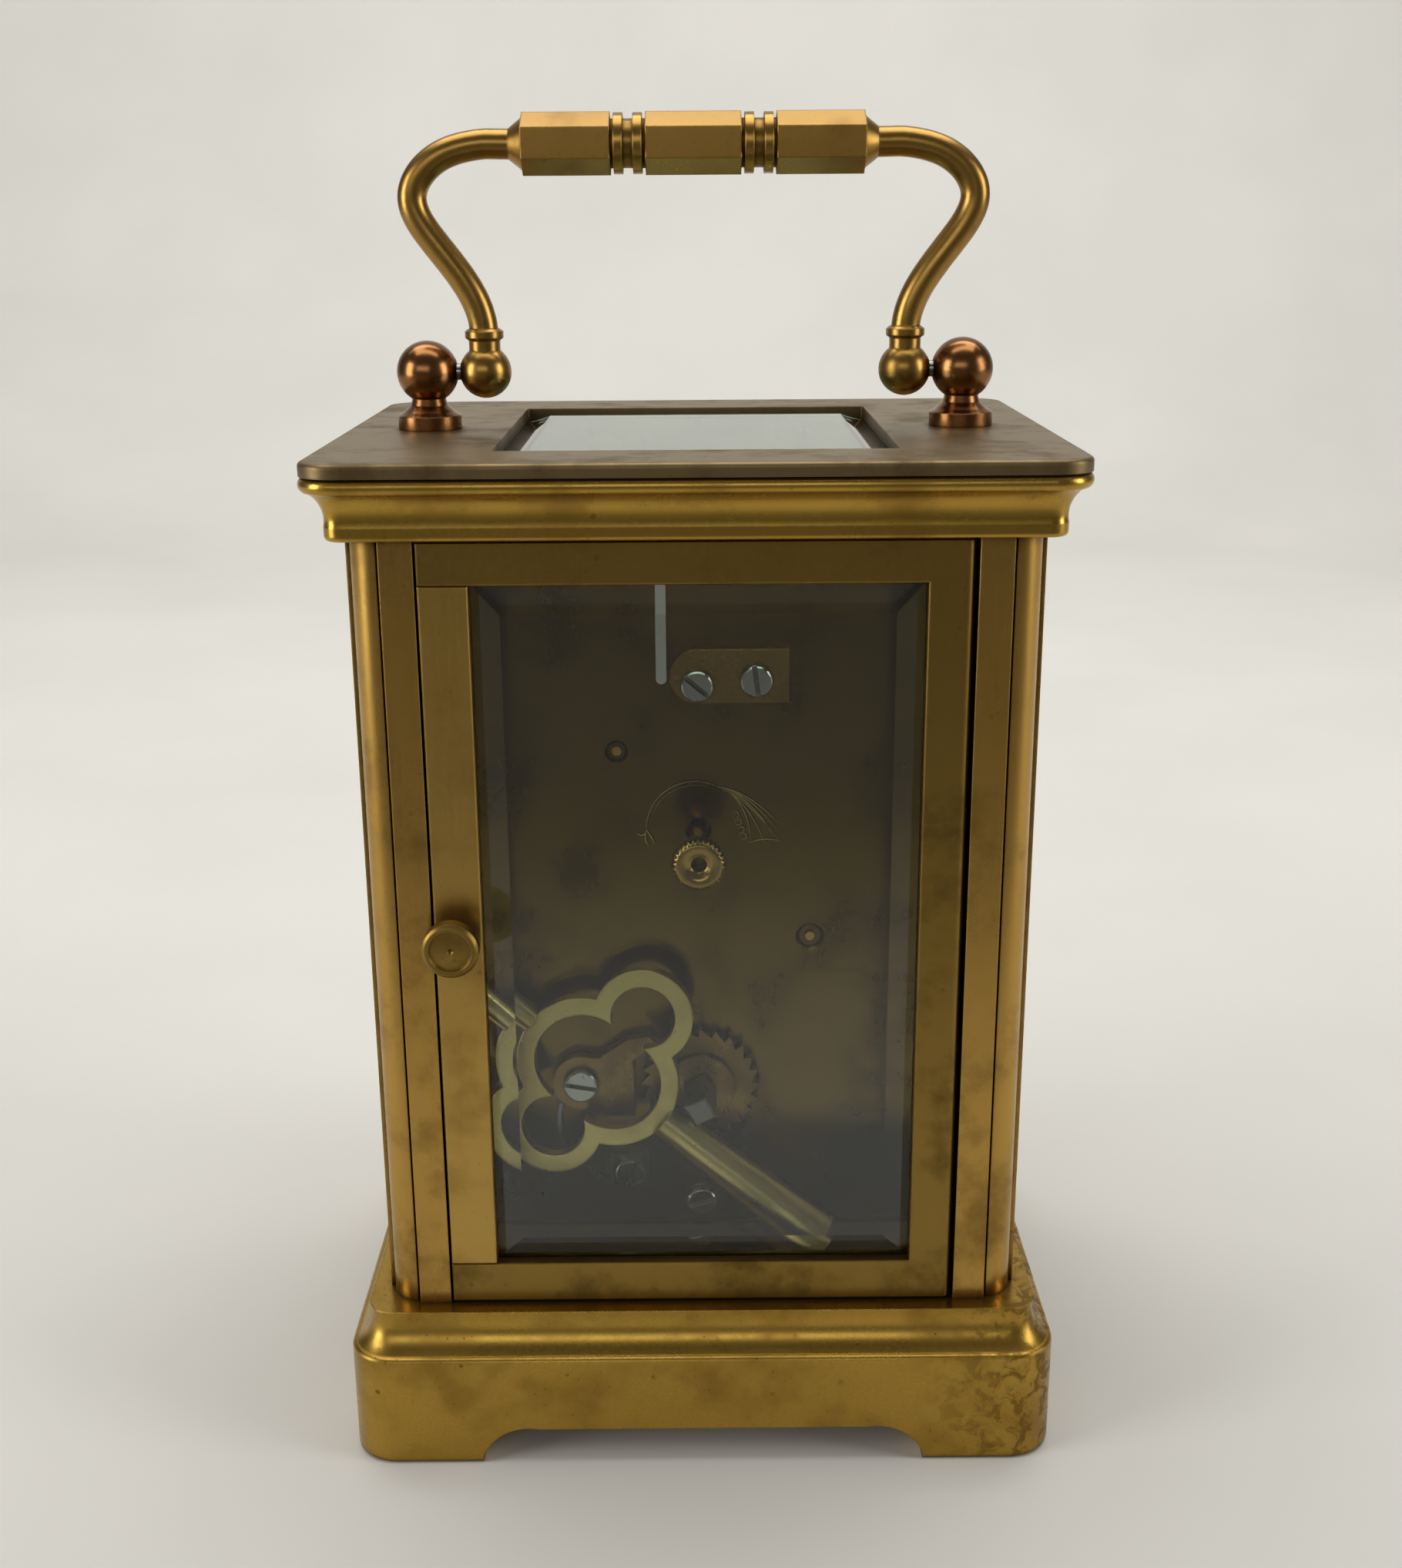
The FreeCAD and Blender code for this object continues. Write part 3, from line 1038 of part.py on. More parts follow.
balance_z = bridge_z1 + 0.5
balance_radius = 5.0
balance = upright(*balance_at, balance_z, balance_z + 0.8, balance_radius)
inner_ring = upright(*balance_at, balance_z - 1, balance_z + 2, balance_radius - 0.7)
inner_ring = inner_ring.cut(upright(*balance_at, balance_z - 2, balance_z + 3, 0.9))
arm = block(balance_at[0] - 6, balance_at[0] + 6, balance_at[1] - 0.35, balance_at[1] + 0.35,
            balance_z - 2, balance_z + 3)
balance = balance.cut(inner_ring.cut(arm))
cock_low = balance_z + 1.9
balance = balance.fuse(upright(*balance_at, platform_z1 + 0.2, cock_low - 0.3, 0.5))
balance = balance.fuse(upright(*balance_at, platform_z1 - 0.9, cock_low + 0.8, staff_pivot))
balance = balance.fuse(upright(*balance_at, escape_z - 0.1, escape_z + 0.6, 1.1))
for k in range(8):
    a = 2 * math.pi * (k + 0.5) / 8
    head = Part.makeCylinder(0.3, 0.5, V(balance_at[0] + (balance_radius - 0.1) * math.cos(a),
                                         balance_at[1] + (balance_radius - 0.1) * math.sin(a), balance_z + 0.4),
                             V(math.cos(a), math.sin(a), 0))
    balance = balance.fuse(head)
parts["balance_wheel"] = balance.removeSplitter()
hairspring_centre = (balance_at[0], balance_z + 1.1)
parts["hairspring"] = ribbon_spiral(hairspring_centre, 0.75, 0.5, 4, 0.12, balance_at[1], 0.3, True)

cock_foot = 8.6
bx, by = balance_at
cock = block(bx + 6.2, bx + cock_foot, by - 2.2, by + 2.2, platform_z1, cock_low + 1.1)
cock_arm = face_of([(x, y, cock_low) for x, y in (
    (bx + 6.3, by - 2.2), (bx + 6.3, by + 2.2), (bx - 0.2, by + 1.3), (bx - 0.2, by - 1.3))])
cock = cock.fuse([cock_arm.extrude(V(0, 0, 1.1)), upright(*balance_at, cock_low, cock_low + 1.1, 1.7)])
index_z = cock_low + 1.2
cock = cock.removeSplitter().fuse(upright(*balance_at, cock_low + 1.0, index_z + 0.6, 0.9))
staff_hole = upright(*balance_at, 0, cock_low + 0.9, staff_pivot + running_fit)
parts["balance_cock"] = cock.cut(staff_hole).removeSplitter()

# index: ring on the cock, arm over the back plate and a tail that hangs behind it
tail_y0, tail_y1 = back_plate_y + 1.6, back_plate_y + 2.05
tail_width, tail_bottom = 1.15, 86.9
index = upright(*balance_at, index_z, index_z + 0.5, 1.7)
index = index.fuse(block(bx - tail_width / 2, bx + tail_width / 2, by, tail_y1, index_z, index_z + 0.5))
tail = block(bx - tail_width / 2, bx + tail_width / 2, tail_y0, tail_y1, tail_bottom, index_z + 0.5)
index = index.fuse(tail)
index = index.fuse(arbor(balance_at[0], tail_bottom, tail_y0, tail_y1, tail_width / 2))
parts["regulator_index"] = index.cut(upright(*balance_at, 0, 200, 0.9 + running_fit)).removeSplitter()

# ---------------------------------------------------------------- key lying in the case
key_foot = V(-13.7, 18.0, base_height + 2.35)
key_line = V(40.0, -5.0, 31.4).normalize()
bow_at = 32.7
bow_strip, bow_thick = 2.05, 1.7
axis_lobe, axis_offset = 7.8, 2.1
side_lobe, side_offset = 5.8, 8.7
small_pipe = 10.5


def lobes(shrink, thick):
    discs = [Part.makeCylinder(r - shrink, thick, V(x, y, -thick / 2), UP)
             for x, y, r in ((bow_at - axis_offset, 0, axis_lobe), (bow_at + axis_offset, 0, axis_lobe),
                             (bow_at, side_offset, side_lobe), (bow_at, -side_offset, side_lobe))]
    return discs[0].fuse(discs[1:])


def square_socket(side, depth, x, along):
    hole = block(0, depth, -side / 2, side / 2, -side / 2, side / 2)
    if along < 0:
        hole = hole.mirror(V(0, 0, 0), RIGHT)
    hole.translate(V(x, 0, 0))
    return hole


bow = lobes(0, bow_thick).cut(lobes(bow_strip, bow_thick + 1)).removeSplitter()
pipe_length = bow_at - axis_offset - axis_lobe + 0.35
large_pipe = Part.makeCone(2.85, 2.0, pipe_length, V(0, 0, 0), RIGHT)
large_pipe = large_pipe.cut(square_socket(winding_square + 0.2, 9, 0, 1))
small_x = bow_at + axis_offset + axis_lobe - 0.35
small = Part.makeCone(1.5, 2.1, small_pipe, V(small_x, 0, 0), RIGHT)
small = small.cut(square_socket(1.6, 5, small_x + small_pipe, -1))
large_pipe = large_pipe.cut(bow)
small = small.cut(bow)
key_across = V(-key_line.z, 0, key_line.x).normalize()
key_out = key_line.cross(key_across)
key_matrix = FreeCAD.Matrix(key_line.x, key_across.x, key_out.x, key_foot.x,
                            key_line.y, key_across.y, key_out.y, key_foot.y,
                            key_line.z, key_across.z, key_out.z, key_foot.z, 0, 0, 0, 1)
for name, piece in (("key_bow", bow), ("key_winding_pipe", large_pipe), ("key_setting_pipe", small)):
    piece.Placement = FreeCAD.Placement(key_matrix).multiply(piece.Placement)
    parts[name] = piece

# ---------------------------------------------------------------- files
os.makedirs("parts", exist_ok=True)
for name, shape in parts.items():
    shape.exportStep("parts/" + name + ".step")
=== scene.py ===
import math

import bmesh
import bpy
import numpy as np
from mathutils import Matrix, Vector


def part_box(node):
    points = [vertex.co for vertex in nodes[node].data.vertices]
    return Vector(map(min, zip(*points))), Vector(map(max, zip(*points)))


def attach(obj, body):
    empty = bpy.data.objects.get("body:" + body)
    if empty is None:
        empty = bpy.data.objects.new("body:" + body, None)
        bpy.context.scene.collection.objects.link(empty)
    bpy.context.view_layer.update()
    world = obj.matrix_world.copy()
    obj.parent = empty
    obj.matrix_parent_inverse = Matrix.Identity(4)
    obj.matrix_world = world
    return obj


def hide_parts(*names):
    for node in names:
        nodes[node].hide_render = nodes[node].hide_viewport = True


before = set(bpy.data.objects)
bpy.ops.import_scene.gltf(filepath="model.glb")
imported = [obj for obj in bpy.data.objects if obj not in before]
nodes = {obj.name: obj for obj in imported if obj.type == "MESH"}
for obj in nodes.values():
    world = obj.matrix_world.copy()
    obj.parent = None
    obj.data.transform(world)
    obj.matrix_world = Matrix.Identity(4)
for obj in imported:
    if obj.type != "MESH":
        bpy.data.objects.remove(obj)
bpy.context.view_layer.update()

# ---------------------------------------------------------------- base
# The base is one hollow brass casting with bracket feet and a hollow-curved moulding round its top.
# It was filed, polished and lacquered, and a century of hands has left its edges bright, its
# hollows brown and its right-hand end freckled with dark spots where the lacquer has failed.


def linear(code, alpha=1.0):
    """An sRGB hex colour such as b08d3f as linear red, green, blue and alpha."""
    channels = [int(code[i:i + 2], 16) / 255 for i in (0, 2, 4)]
    return [c / 12.92 if c <= 0.04045 else ((c + 0.055) / 1.055) ** 2.4 for c in channels] + [alpha]


def add(tree, kind, settings=None, **inputs):
    """Adds one node: settings are its properties, inputs are values or sockets by input name or number."""
    item = tree.nodes.new(kind)
    for key, value in (settings or {}).items():
        setattr(item, key, value)
    for key, value in inputs.items():
        numbered = key[0] == "i" and key[1:].isdigit()
        socket = item.inputs[int(key[1:]) if numbered else key.replace("_", " ")]
        if isinstance(value, bpy.types.NodeSocket):
            tree.links.new(value, socket)
        else:
            socket.default_value = value
    return item


def blank(name):
    """An empty node material and its Principled shader, joined to the output."""
    material = bpy.data.materials.new(name)
    material.use_nodes = True
    tree = material.node_tree
    tree.nodes.clear()
    output = tree.nodes.new("ShaderNodeOutputMaterial")
    shader = tree.nodes.new("ShaderNodeBsdfPrincipled")
    tree.links.new(shader.outputs["BSDF"], output.inputs["Surface"])
    return material, tree, shader


def ramp(tree, factor, low, high):
    """Smooth 0 to 1 step of a factor between low and high."""
    step = add(tree, "ShaderNodeMapRange", {"interpolation_type": "SMOOTHSTEP"}, Value=factor)
    step.inputs["From Min"].default_value = low
    step.inputs["From Max"].default_value = high
    return step.outputs["Result"]


def tinted(tree, factor, a, b):
    """Colour mix of a and b, each a colour or a socket."""
    mix = add(tree, "ShaderNodeMix", {"data_type": "RGBA"}, i0=factor)
    for socket, value in ((mix.inputs[6], a), (mix.inputs[7], b)):
        if isinstance(value, bpy.types.NodeSocket):
            tree.links.new(value, socket)
        else:
            socket.default_value = value
    return mix.outputs[2]


def product(tree, a, b, operation="MULTIPLY"):
    """Two factors multiplied, or joined by another operation, and held between 0 and 1."""
    return add(tree, "ShaderNodeMath", {"operation": operation, "use_clamp": True}, i0=a, i1=b).outputs[0]


MM = 0.001


def old_brass(name, polished, tarnish, roughness, recess=0.8, patches=0.4, spots=0.3, edge=0.25, reach=1.6,
              brushed=None, freckled_side=0.0):
    """Lacquered brass, cast or sheet. Cloudy tone changes 9 mm across, brown tarnish that gathers in
    recesses, dark freckles under 1 mm, hairline polishing marks and edges softened by edge millimetres."""
    material, tree, shader = blank(name)
    place = add(tree, "ShaderNodeTexCoord").outputs["Object"]
    cloud = add(tree, "ShaderNodeTexNoise", Vector=place, Scale=1 / (9 * MM), Detail=5.0, Roughness=0.62)
    smudge = add(tree, "ShaderNodeTexNoise", Vector=place, Scale=1 / (2.2 * MM), Detail=6.0, Roughness=0.7,
                 Distortion=0.6)
    hidden = add(tree, "ShaderNodeAmbientOcclusion", {"samples": 6}, Distance=reach * MM)
    hollow = add(tree, "ShaderNodeMath", {"operation": "SUBTRACT"}, i0=1.0,
                 i1=hidden.outputs["AO"]).outputs[0]
    uneven = product(tree, hollow, add(tree, "ShaderNodeMath", {"operation": "ADD"}, i0=0.55,
                                       i1=smudge.outputs["Fac"]).outputs[0])
    in_recess = product(tree, ramp(tree, uneven, 0.12, 0.6), recess)
    in_patch = product(tree, ramp(tree, cloud.outputs["Fac"], 0.46, 0.72), patches)
    dull = product(tree, in_recess, in_patch, "MAXIMUM")
    freckle = add(tree, "ShaderNodeTexVoronoi", {"feature": "F1"}, Vector=place, Scale=1 / (2.4 * MM),
                  Randomness=1.0)
    small = add(tree, "ShaderNodeTexVoronoi", {"feature": "F1"}, Vector=place, Scale=1 / (0.9 * MM),
                Randomness=1.0)
    dot = product(tree, ramp(tree, freckle.outputs["Distance"], 0.17, 0.08),
                  ramp(tree, smudge.outputs["Fac"], 0.5, 0.62))
    speck = product(tree, ramp(tree, small.outputs["Distance"], 0.16, 0.06),
                    ramp(tree, cloud.outputs["Fac"], 0.5, 0.62))
    marks = product(tree, product(tree, dot, speck, "ADD"), spots)
    if freckled_side:
        across = add(tree, "ShaderNodeSeparateXYZ", Vector=place).outputs["X"]
        worn_end = ramp(tree, across, -20 * MM, -38 * MM)
        stain = product(tree, worn_end, ramp(tree, smudge.outputs["Fac"], 0.44, 0.6))
        dull = product(tree, dull, product(tree, stain, freckled_side), "MAXIMUM")
        marks = product(tree, marks, product(tree, product(tree, dot, worn_end), 0.9), "MAXIMUM")
    base = tinted(tree, cloud.outputs["Fac"], linear(polished),
                  [c * 0.82 for c in linear(polished)[:3]] + [1.0])
    colour = tinted(tree, dull, base, linear(tarnish))
    colour = tinted(tree, marks, colour, linear("2b2014"))
    if brushed:
        stretch = add(tree, "ShaderNodeMapping", Vector=place, Scale=brushed)
        lines = add(tree, "ShaderNodeTexNoise", Vector=stretch.outputs["Vector"], Scale=1 / (0.35 * MM),
                    Detail=3.0).outputs["Fac"]
    else:
        lines = add(tree, "ShaderNodeTexNoise", Vector=place, Scale=1 / (0.5 * MM), Detail=4.0).outputs["Fac"]
    rough = add(tree, "ShaderNodeMath", {"operation": "MULTIPLY_ADD", "use_clamp": True}, i0=dull, i1=0.26,
                i2=roughness).outputs[0]
    rough = add(tree, "ShaderNodeMath", {"operation": "MULTIPLY_ADD", "use_clamp": True}, i0=lines, i1=0.10,
                i2=rough).outputs[0]
    soft = add(tree, "ShaderNodeBevel", {"samples": 4}, Radius=edge * MM)
    wave = add(tree, "ShaderNodeTexNoise", Vector=place, Scale=1 / (5 * MM), Detail=2.0).outputs["Fac"]
    dents = add(tree, "ShaderNodeBump", Height=wave, Strength=0.25, Distance=0.05 * MM,
                Normal=soft.outputs[0])
    scratch = add(tree, "ShaderNodeBump", Height=lines, Strength=0.3, Distance=0.008 * MM,
                  Normal=dents.outputs[0])
    pits = add(tree, "ShaderNodeBump", {"invert": True}, Height=marks, Strength=0.5, Distance=0.03 * MM,
               Normal=scratch.outputs[0])
    tree.links.new(colour, shader.inputs["Base Color"])
    tree.links.new(rough, shader.inputs["Roughness"])
    tree.links.new(pits.outputs[0], shader.inputs["Normal"])
    shader.inputs["Metallic"].default_value = 1.0
    return material


def dress(material, *names):
    """Gives one material to whole CAD pieces."""
    for name in names:
        mesh = nodes[name].data
        mesh.materials.clear()
        mesh.materials.append(material)
        for face in mesh.polygons:
            face.material_index = 0


dress(old_brass("lacquered_cast_brass_base", "b38f3f", "5c421b", 0.22, spots=0.55, freckled_side=0.75),
      "base_moulding")

# ---------------------------------------------------------------- floor plate and screws
# The floor is a sheet-brass plate let into the base from above. Steel cheese-headed screws come up
# through it and through the base and cornice into the pillars.
dress(old_brass("rolled_brass_floor", "8d7440", "3f2f18", 0.3, brushed=(0.1, 1.0, 1.0)), "floor_plate")


def screw_steel(name, tone, roughness, fleck=0.35, edge=0.12):
    """Turned and polished carbon steel: neutral grey, fine turning marks 0.2 mm apart, and brown
    specks where the oil has dried."""
    material, tree, shader = blank(name)
    place = add(tree, "ShaderNodeTexCoord").outputs["Object"]
    cloud = add(tree, "ShaderNodeTexNoise", Vector=place, Scale=1 / (1.4 * MM), Detail=5.0, Roughness=0.65)
    grain = add(tree, "ShaderNodeTexNoise", Vector=place, Scale=1 / (0.2 * MM), Detail=3.0).outputs["Fac"]
    rust = product(tree, ramp(tree, cloud.outputs["Fac"], 0.56, 0.7), fleck)
    # Surfaces closed in within 0.7 mm are darkened towards near black 0d0a07: painted shade in slots and
    # recesses.
    open_sky = add(tree, "ShaderNodeAmbientOcclusion", {"samples": 6}, Distance=0.7 * MM).outputs["AO"]
    painted_recess_shade = ramp(tree, open_sky, 0.75, 0.35)
    colour = tinted(tree, rust, linear(tone), linear("4a3a2c"))
    colour = tinted(tree, painted_recess_shade, colour, linear("0d0a07"))
    rough = add(tree, "ShaderNodeMath", {"operation": "MULTIPLY_ADD", "use_clamp": True}, i0=rust, i1=0.5,
                i2=roughness).outputs[0]
    soft = add(tree, "ShaderNodeBevel", {"samples": 4}, Radius=edge * MM)
    marks = add(tree, "ShaderNodeBump", Height=grain, Strength=0.25, Distance=0.006 * MM,
                Normal=soft.outputs[0])
    tree.links.new(colour, shader.inputs["Base Color"])
    tree.links.new(rough, shader.inputs["Roughness"])
    tree.links.new(marks.outputs[0], shader.inputs["Normal"])
    shader.inputs["Metallic"].default_value = 1.0
    return material


steel = screw_steel("polished_screw_steel", "a09e9a", 0.22)
dress(steel, "case_screws", "movement_seat_screws", "front_plate_screws", "platform_screws",
      "back_plate_screws", "click_screw", "handle_pivot_pins", "door_hinge_pins")

# ---------------------------------------------------------------- pillars
# Four corner pillars are planed from drawn brass: two flat strips, a V groove and a quarter-round
# bead between them. Polish and old lacquer have turned brown in the grooves.
dress(old_brass("planed_brass_pillars", "b8924a", "402a10", 0.2, recess=1.0, patches=0.45, spots=0.25,
                reach=2.2, brushed=(1.0, 1.0, 0.06)),
      "pillar_rear_right", "pillar_rear_left", "pillar_front_right", "pillar_front_left")

# ---------------------------------------------------------------- cornice and top plate
# The cornice is a cast frame with a hollow and a bead. The top plate is a separate brass sheet,
# greyer because it was left unlacquered, screwed down under the handle posts.
dress(old_brass("lacquered_cast_brass_cornice", "b5913f", "5e431a", 0.2, spots=0.35), "cornice_moulding")
dress(old_brass("unlacquered_brass_top", "7d6a4a", "43341f", 0.36, patches=0.6, spots=0.4,
                brushed=(0.15, 1.0, 1.0)), "top_plate")

# ---------------------------------------------------------------- glasses
# Thick plate-glass panes with wide ground bevels. The glass has a slight green cast, strongest
# through its edges, and a thin film of dust.


def plate_glass(name, tint):
    """Bevelled plate glass: index 1.5, a faint green tint, and a film of dust in clouds 14 mm across."""
    material, tree, shader = blank(name)
    place = add(tree, "ShaderNodeTexCoord").outputs["Object"]
    clean = linear(tint)
    film = add(tree, "ShaderNodeTexNoise", Vector=place, Scale=1 / (14 * MM), Detail=4.0)
    tree.links.new(tinted(tree, film.outputs["Fac"], clean, [c * 0.94 for c in clean[:3]] + [1.0]),
                   shader.inputs["Base Color"])
    shader.inputs["Roughness"].default_value = 0.0
    shader.inputs["Specular IOR Level"].default_value = 0.22
    shader.inputs["IOR"].default_value = 1.5
    shader.inputs["Transmission Weight"].default_value = 1.0
    return material


dress(plate_glass("bevelled_plate_glass", "f1f8f4"), "side_glasses", "front_glass", "door_glass")
dress(plate_glass("bevelled_top_glass", "c4e0d0"), "top_glass")

# ---------------------------------------------------------------- rear door
# The door is a soldered brass frame, browner than the case because it was handled less, with a
# brighter closing stile that carries a turned knob.
door_brass = old_brass("tarnished_drawn_brass_door", "8f7338", "423113", 0.28, patches=0.6, reach=1.2)
dress(door_brass, "door_frame", "door_knob")
dress(old_brass("drawn_brass_closing_stile", "bb9850", "64491d", 0.24, patches=0.35,
                brushed=(1.0, 1.0, 0.06)), "door_closing_stile")

# ---------------------------------------------------------------- handle
# The posts are turned balls of reddish gilding metal screwed through the cornice from below. The
# handle is bent brass rod with turned collars and a faceted grip, worn smooth and warm by hands.
dress(old_brass("turned_gilding_metal_posts", "8b6038", "482a14", 0.18, patches=0.5, spots=0.2),
      "handle_posts", "handle_post_nuts")
dress(old_brass("handled_brass_grip", "a07c3e", "4e3615", 0.24, recess=1.0, patches=0.35, reach=1.2),
      "handle_bail")

# ---------------------------------------------------------------- movement plates
# The plates are hard rolled brass, grained lengthwise and lacquered: dark olive, and polished enough
# to mirror what stands in front of them.
dress(old_brass("rolled_brass_plates", "66521f", "2c1f08", 0.12, recess=0.6, patches=0.55, spots=0.25,
                edge=0.15, brushed=(1.0, 1.0, 0.05)), "back_plate", "front_plate")
wheel_brass = old_brass("cut_wheel_brass", "b9924a", "5f431c", 0.18, patches=0.3, edge=0.08)
dress(wheel_brass, "movement_pillars", "mainspring_barrel", "barrel_cover", "intermediate_wheel",
      "centre_wheel", "third_wheel", "contrate_wheel", "minute_wheel", "hour_wheel", "hand_nut",
      "platform_plate", "escapement_bridge", "balance_wheel", "balance_cock")
dress(old_brass("grained_end_plate", "8f7036", "4a3516", 0.2, patches=0.3, edge=0.15), "contrate_end_plate")

# ---------------------------------------------------------------- hand-setting knob
# A small brass knob turned from rod, with a rope knurl rolled into its rim, a dished face and a round bore
# for the small end of the key. It is pressed on the end of the centre arbor.
knob_low, knob_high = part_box("hand_setting_knob")
knob_middle = ((knob_low + knob_high) / 2).xz


def turned_knob(profile, ridges, depth, steps=10):
    """Profile of (radius, y, knurl) rows turned about the knob's axis: each radius is pulled in by
    depth x knurl x the square of the sine of half the ridge angle, slanted along y as a rope is."""
    rows = np.array(profile)
    count = ridges * steps
    angle = np.linspace(0, 2 * math.pi, count, endpoint=False)
    turn, row = np.meshgrid(angle, np.arange(len(rows)), indexing="ij")
    radius, y, knurl = rows[row, 0], rows[row, 1], rows[row, 2]
    slant = ridges * turn / 2 + (y - rows[0, 1]) / (1.1 * MM) * math.pi / 2
    radius = radius - depth * knurl * np.sin(slant) ** 2
    points = np.stack([knob_middle[0] + radius * np.cos(turn), y, knob_middle[1] + radius * np.sin(turn)], -1)
    length = len(rows)
    i, j = np.meshgrid(np.arange(count), np.arange(length), indexing="ij")
    k, m = (i + 1) % count, (j + 1) % length
    faces = np.stack([i * length + j, k * length + j, k * length + m, i * length + m], -1).reshape(-1, 4)
    return points.reshape(-1, 3), faces


def piece(name, points, faces, material, smooth=True):
    """A mesh object from arrays of points and faces, with its normals pointing outwards."""
    mesh = bpy.data.meshes.new(name)
    mesh.from_pydata(np.asarray(points).tolist(), [], [list(face) for face in faces])
    mesh.validate()
    form = bmesh.new()
    form.from_mesh(mesh)
    bmesh.ops.recalc_face_normals(form, faces=form.faces)
    form.to_mesh(mesh)
    form.free()
    mesh.polygons.foreach_set("use_smooth", [smooth] * len(mesh.polygons))
    mesh.materials.append(material)
    thing = bpy.data.objects.new(name, mesh)
    bpy.context.scene.collection.objects.link(thing)
    return thing


face_y, back_y = knob_high.y, knob_low.y + 1.4 * MM
bore = 0.72 * MM
rope = 2.98 * MM
knurl_ridges, knurl_depth = 30, 0.3 * MM
profile = [
    (1.5 * MM, knob_low.y, 0), (1.5 * MM, back_y - 0.1 * MM, 0), (1.65 * MM, back_y, 0),
    (2.55 * MM, back_y + 0.02 * MM, 0), (2.8 * MM, back_y + 0.25 * MM, 0.6),
    (rope - 0.06 * MM, back_y + 0.55 * MM, 1), (rope, back_y + 1.0 * MM, 1), (rope, back_y + 1.6 * MM, 1),
    (rope - 0.06 * MM, face_y - 0.5 * MM, 1), (2.8 * MM, face_y - 0.22 * MM, 0.7),
    (2.5 * MM, face_y - 0.12 * MM, 0), (2.38 * MM, face_y - 0.02 * MM, 0), (2.25 * MM, face_y, 0),
    (1.55 * MM, face_y, 0),
    (1.4 * MM, face_y - 0.12 * MM, 0), (bore * 1.3, face_y - 0.28 * MM, 0), (bore, face_y - 0.5 * MM, 0),
    (bore, knob_low.y, 0),
]
knob_brass = old_brass("turned_brass_set_knob", "a08246", "3d2b12", 0.2, recess=1.0, patches=0.3, edge=0.05,
                       reach=0.7)
set_knob = piece("knurled_set_knob", *turned_knob(profile, knurl_ridges, knurl_depth), knob_brass)
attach(set_knob, "centre")
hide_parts("hand_setting_knob")

# ---------------------------------------------------------------- engraved arrow
# The direction to turn the hands is cut into the back plate with a graver: an arc with a small
# barbed head at one end and a fan of feather cuts and dots at the other.


def graver_cut(name, colour, roughness):
    """One wall of a graver cut in brass, coloured dark for the painted shadow in the cut and bright for the
    painted highlight on its wall. The cut is broken up by chatter marks 0.3 mm apart."""
    material, tree, shader = blank(name)
    chatter = add(tree, "ShaderNodeTexNoise", Scale=1 / (0.3 * MM), Vector=add(
        tree, "ShaderNodeTexCoord").outputs["Object"])
    tone = linear(colour)
    tree.links.new(tinted(tree, chatter.outputs["Fac"], tone, [c * 0.55 for c in tone[:3]] + [1.0]),
                   shader.inputs["Base Color"])
    bump = add(tree, "ShaderNodeBump", Height=chatter.outputs["Fac"], Strength=0.4, Distance=0.01 * MM)
    tree.links.new(bump.outputs[0], shader.inputs["Normal"])
    shader.inputs["Metallic"].default_value = 1.0
    shader.inputs["Roughness"].default_value = roughness
    return material


plate_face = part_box("back_plate")[1].y
arrow_middle = np.array([0.3 * MM, knob_middle[1] + 0.3 * MM])
arrow_radius = 5.6 * MM


def bar_sides(count):
    """Faces of a four-sided bar made of count rings of four points, closed at both ends."""
    i, j = np.meshgrid(np.arange(count - 1), np.arange(4), indexing="ij")
    k = (j + 1) % 4
    faces = np.stack([i * 4 + j, i * 4 + k, (i + 1) * 4 + k, (i + 1) * 4 + j], -1).reshape(-1, 4).tolist()
    last = (count - 1) * 4
    return faces + [[0, 1, 2, 3], [last, last + 1, last + 2, last + 3]]


def joined(bars):
    """Several (points, faces) pairs run together as one pair."""
    points, faces, offset = [], [], 0
    for bar_points, bar_faces in bars:
        points.append(bar_points)
        faces += [[index + offset for index in face] for face in bar_faces]
        offset += len(bar_points)
    return np.concatenate(points), faces


def cut(path, widest, proud):
    """A graver stroke: a flat bar along an (x, z) path, widest in the middle and drawn to a point at
    both ends, standing proud of the plate by a hundredth of a millimetre or two."""
    path = np.asarray(path, float)
    count = len(path)
    along = np.gradient(path, axis=0)
    along /= np.linalg.norm(along, axis=1)[:, None]
    side = np.stack([-along[:, 1], along[:, 0]], 1)
    half = widest / 2 * (0.15 + 0.85 * np.sin(np.linspace(0.08, math.pi - 0.08, count)))[:, None]
    left, right = path + side * half, path - side * half
    top, bottom = np.full(count, plate_face + proud), np.full(count, plate_face - 0.02 * MM)
    rings = np.stack([np.stack([flank[:, 0], level, flank[:, 1]], 1)
                      for flank, level in ((left, top), (right, top), (right, bottom), (left, bottom))], 1)
    return rings.reshape(-1, 3), bar_sides(count)


def round_arrow(radius, start, end, count=40):
    """Points on a circle about the arrow's middle, angles in degrees from +X towards +Z."""
    angle = np.radians(np.linspace(start, end, count))
    return arrow_middle + radius * np.stack([np.cos(angle), np.sin(angle)], 1)


def feather(start, swing, end, count=24):
    """Quadratic curve from start to end, pulled towards swing, all in mm from the arrow's middle."""
    t = np.linspace(0, 1, count)[:, None]
    start, swing, end = (np.array(point) * MM for point in (start, swing, end))
    return arrow_middle + (1 - t) ** 2 * start + 2 * t * (1 - t) * swing + t ** 2 * end


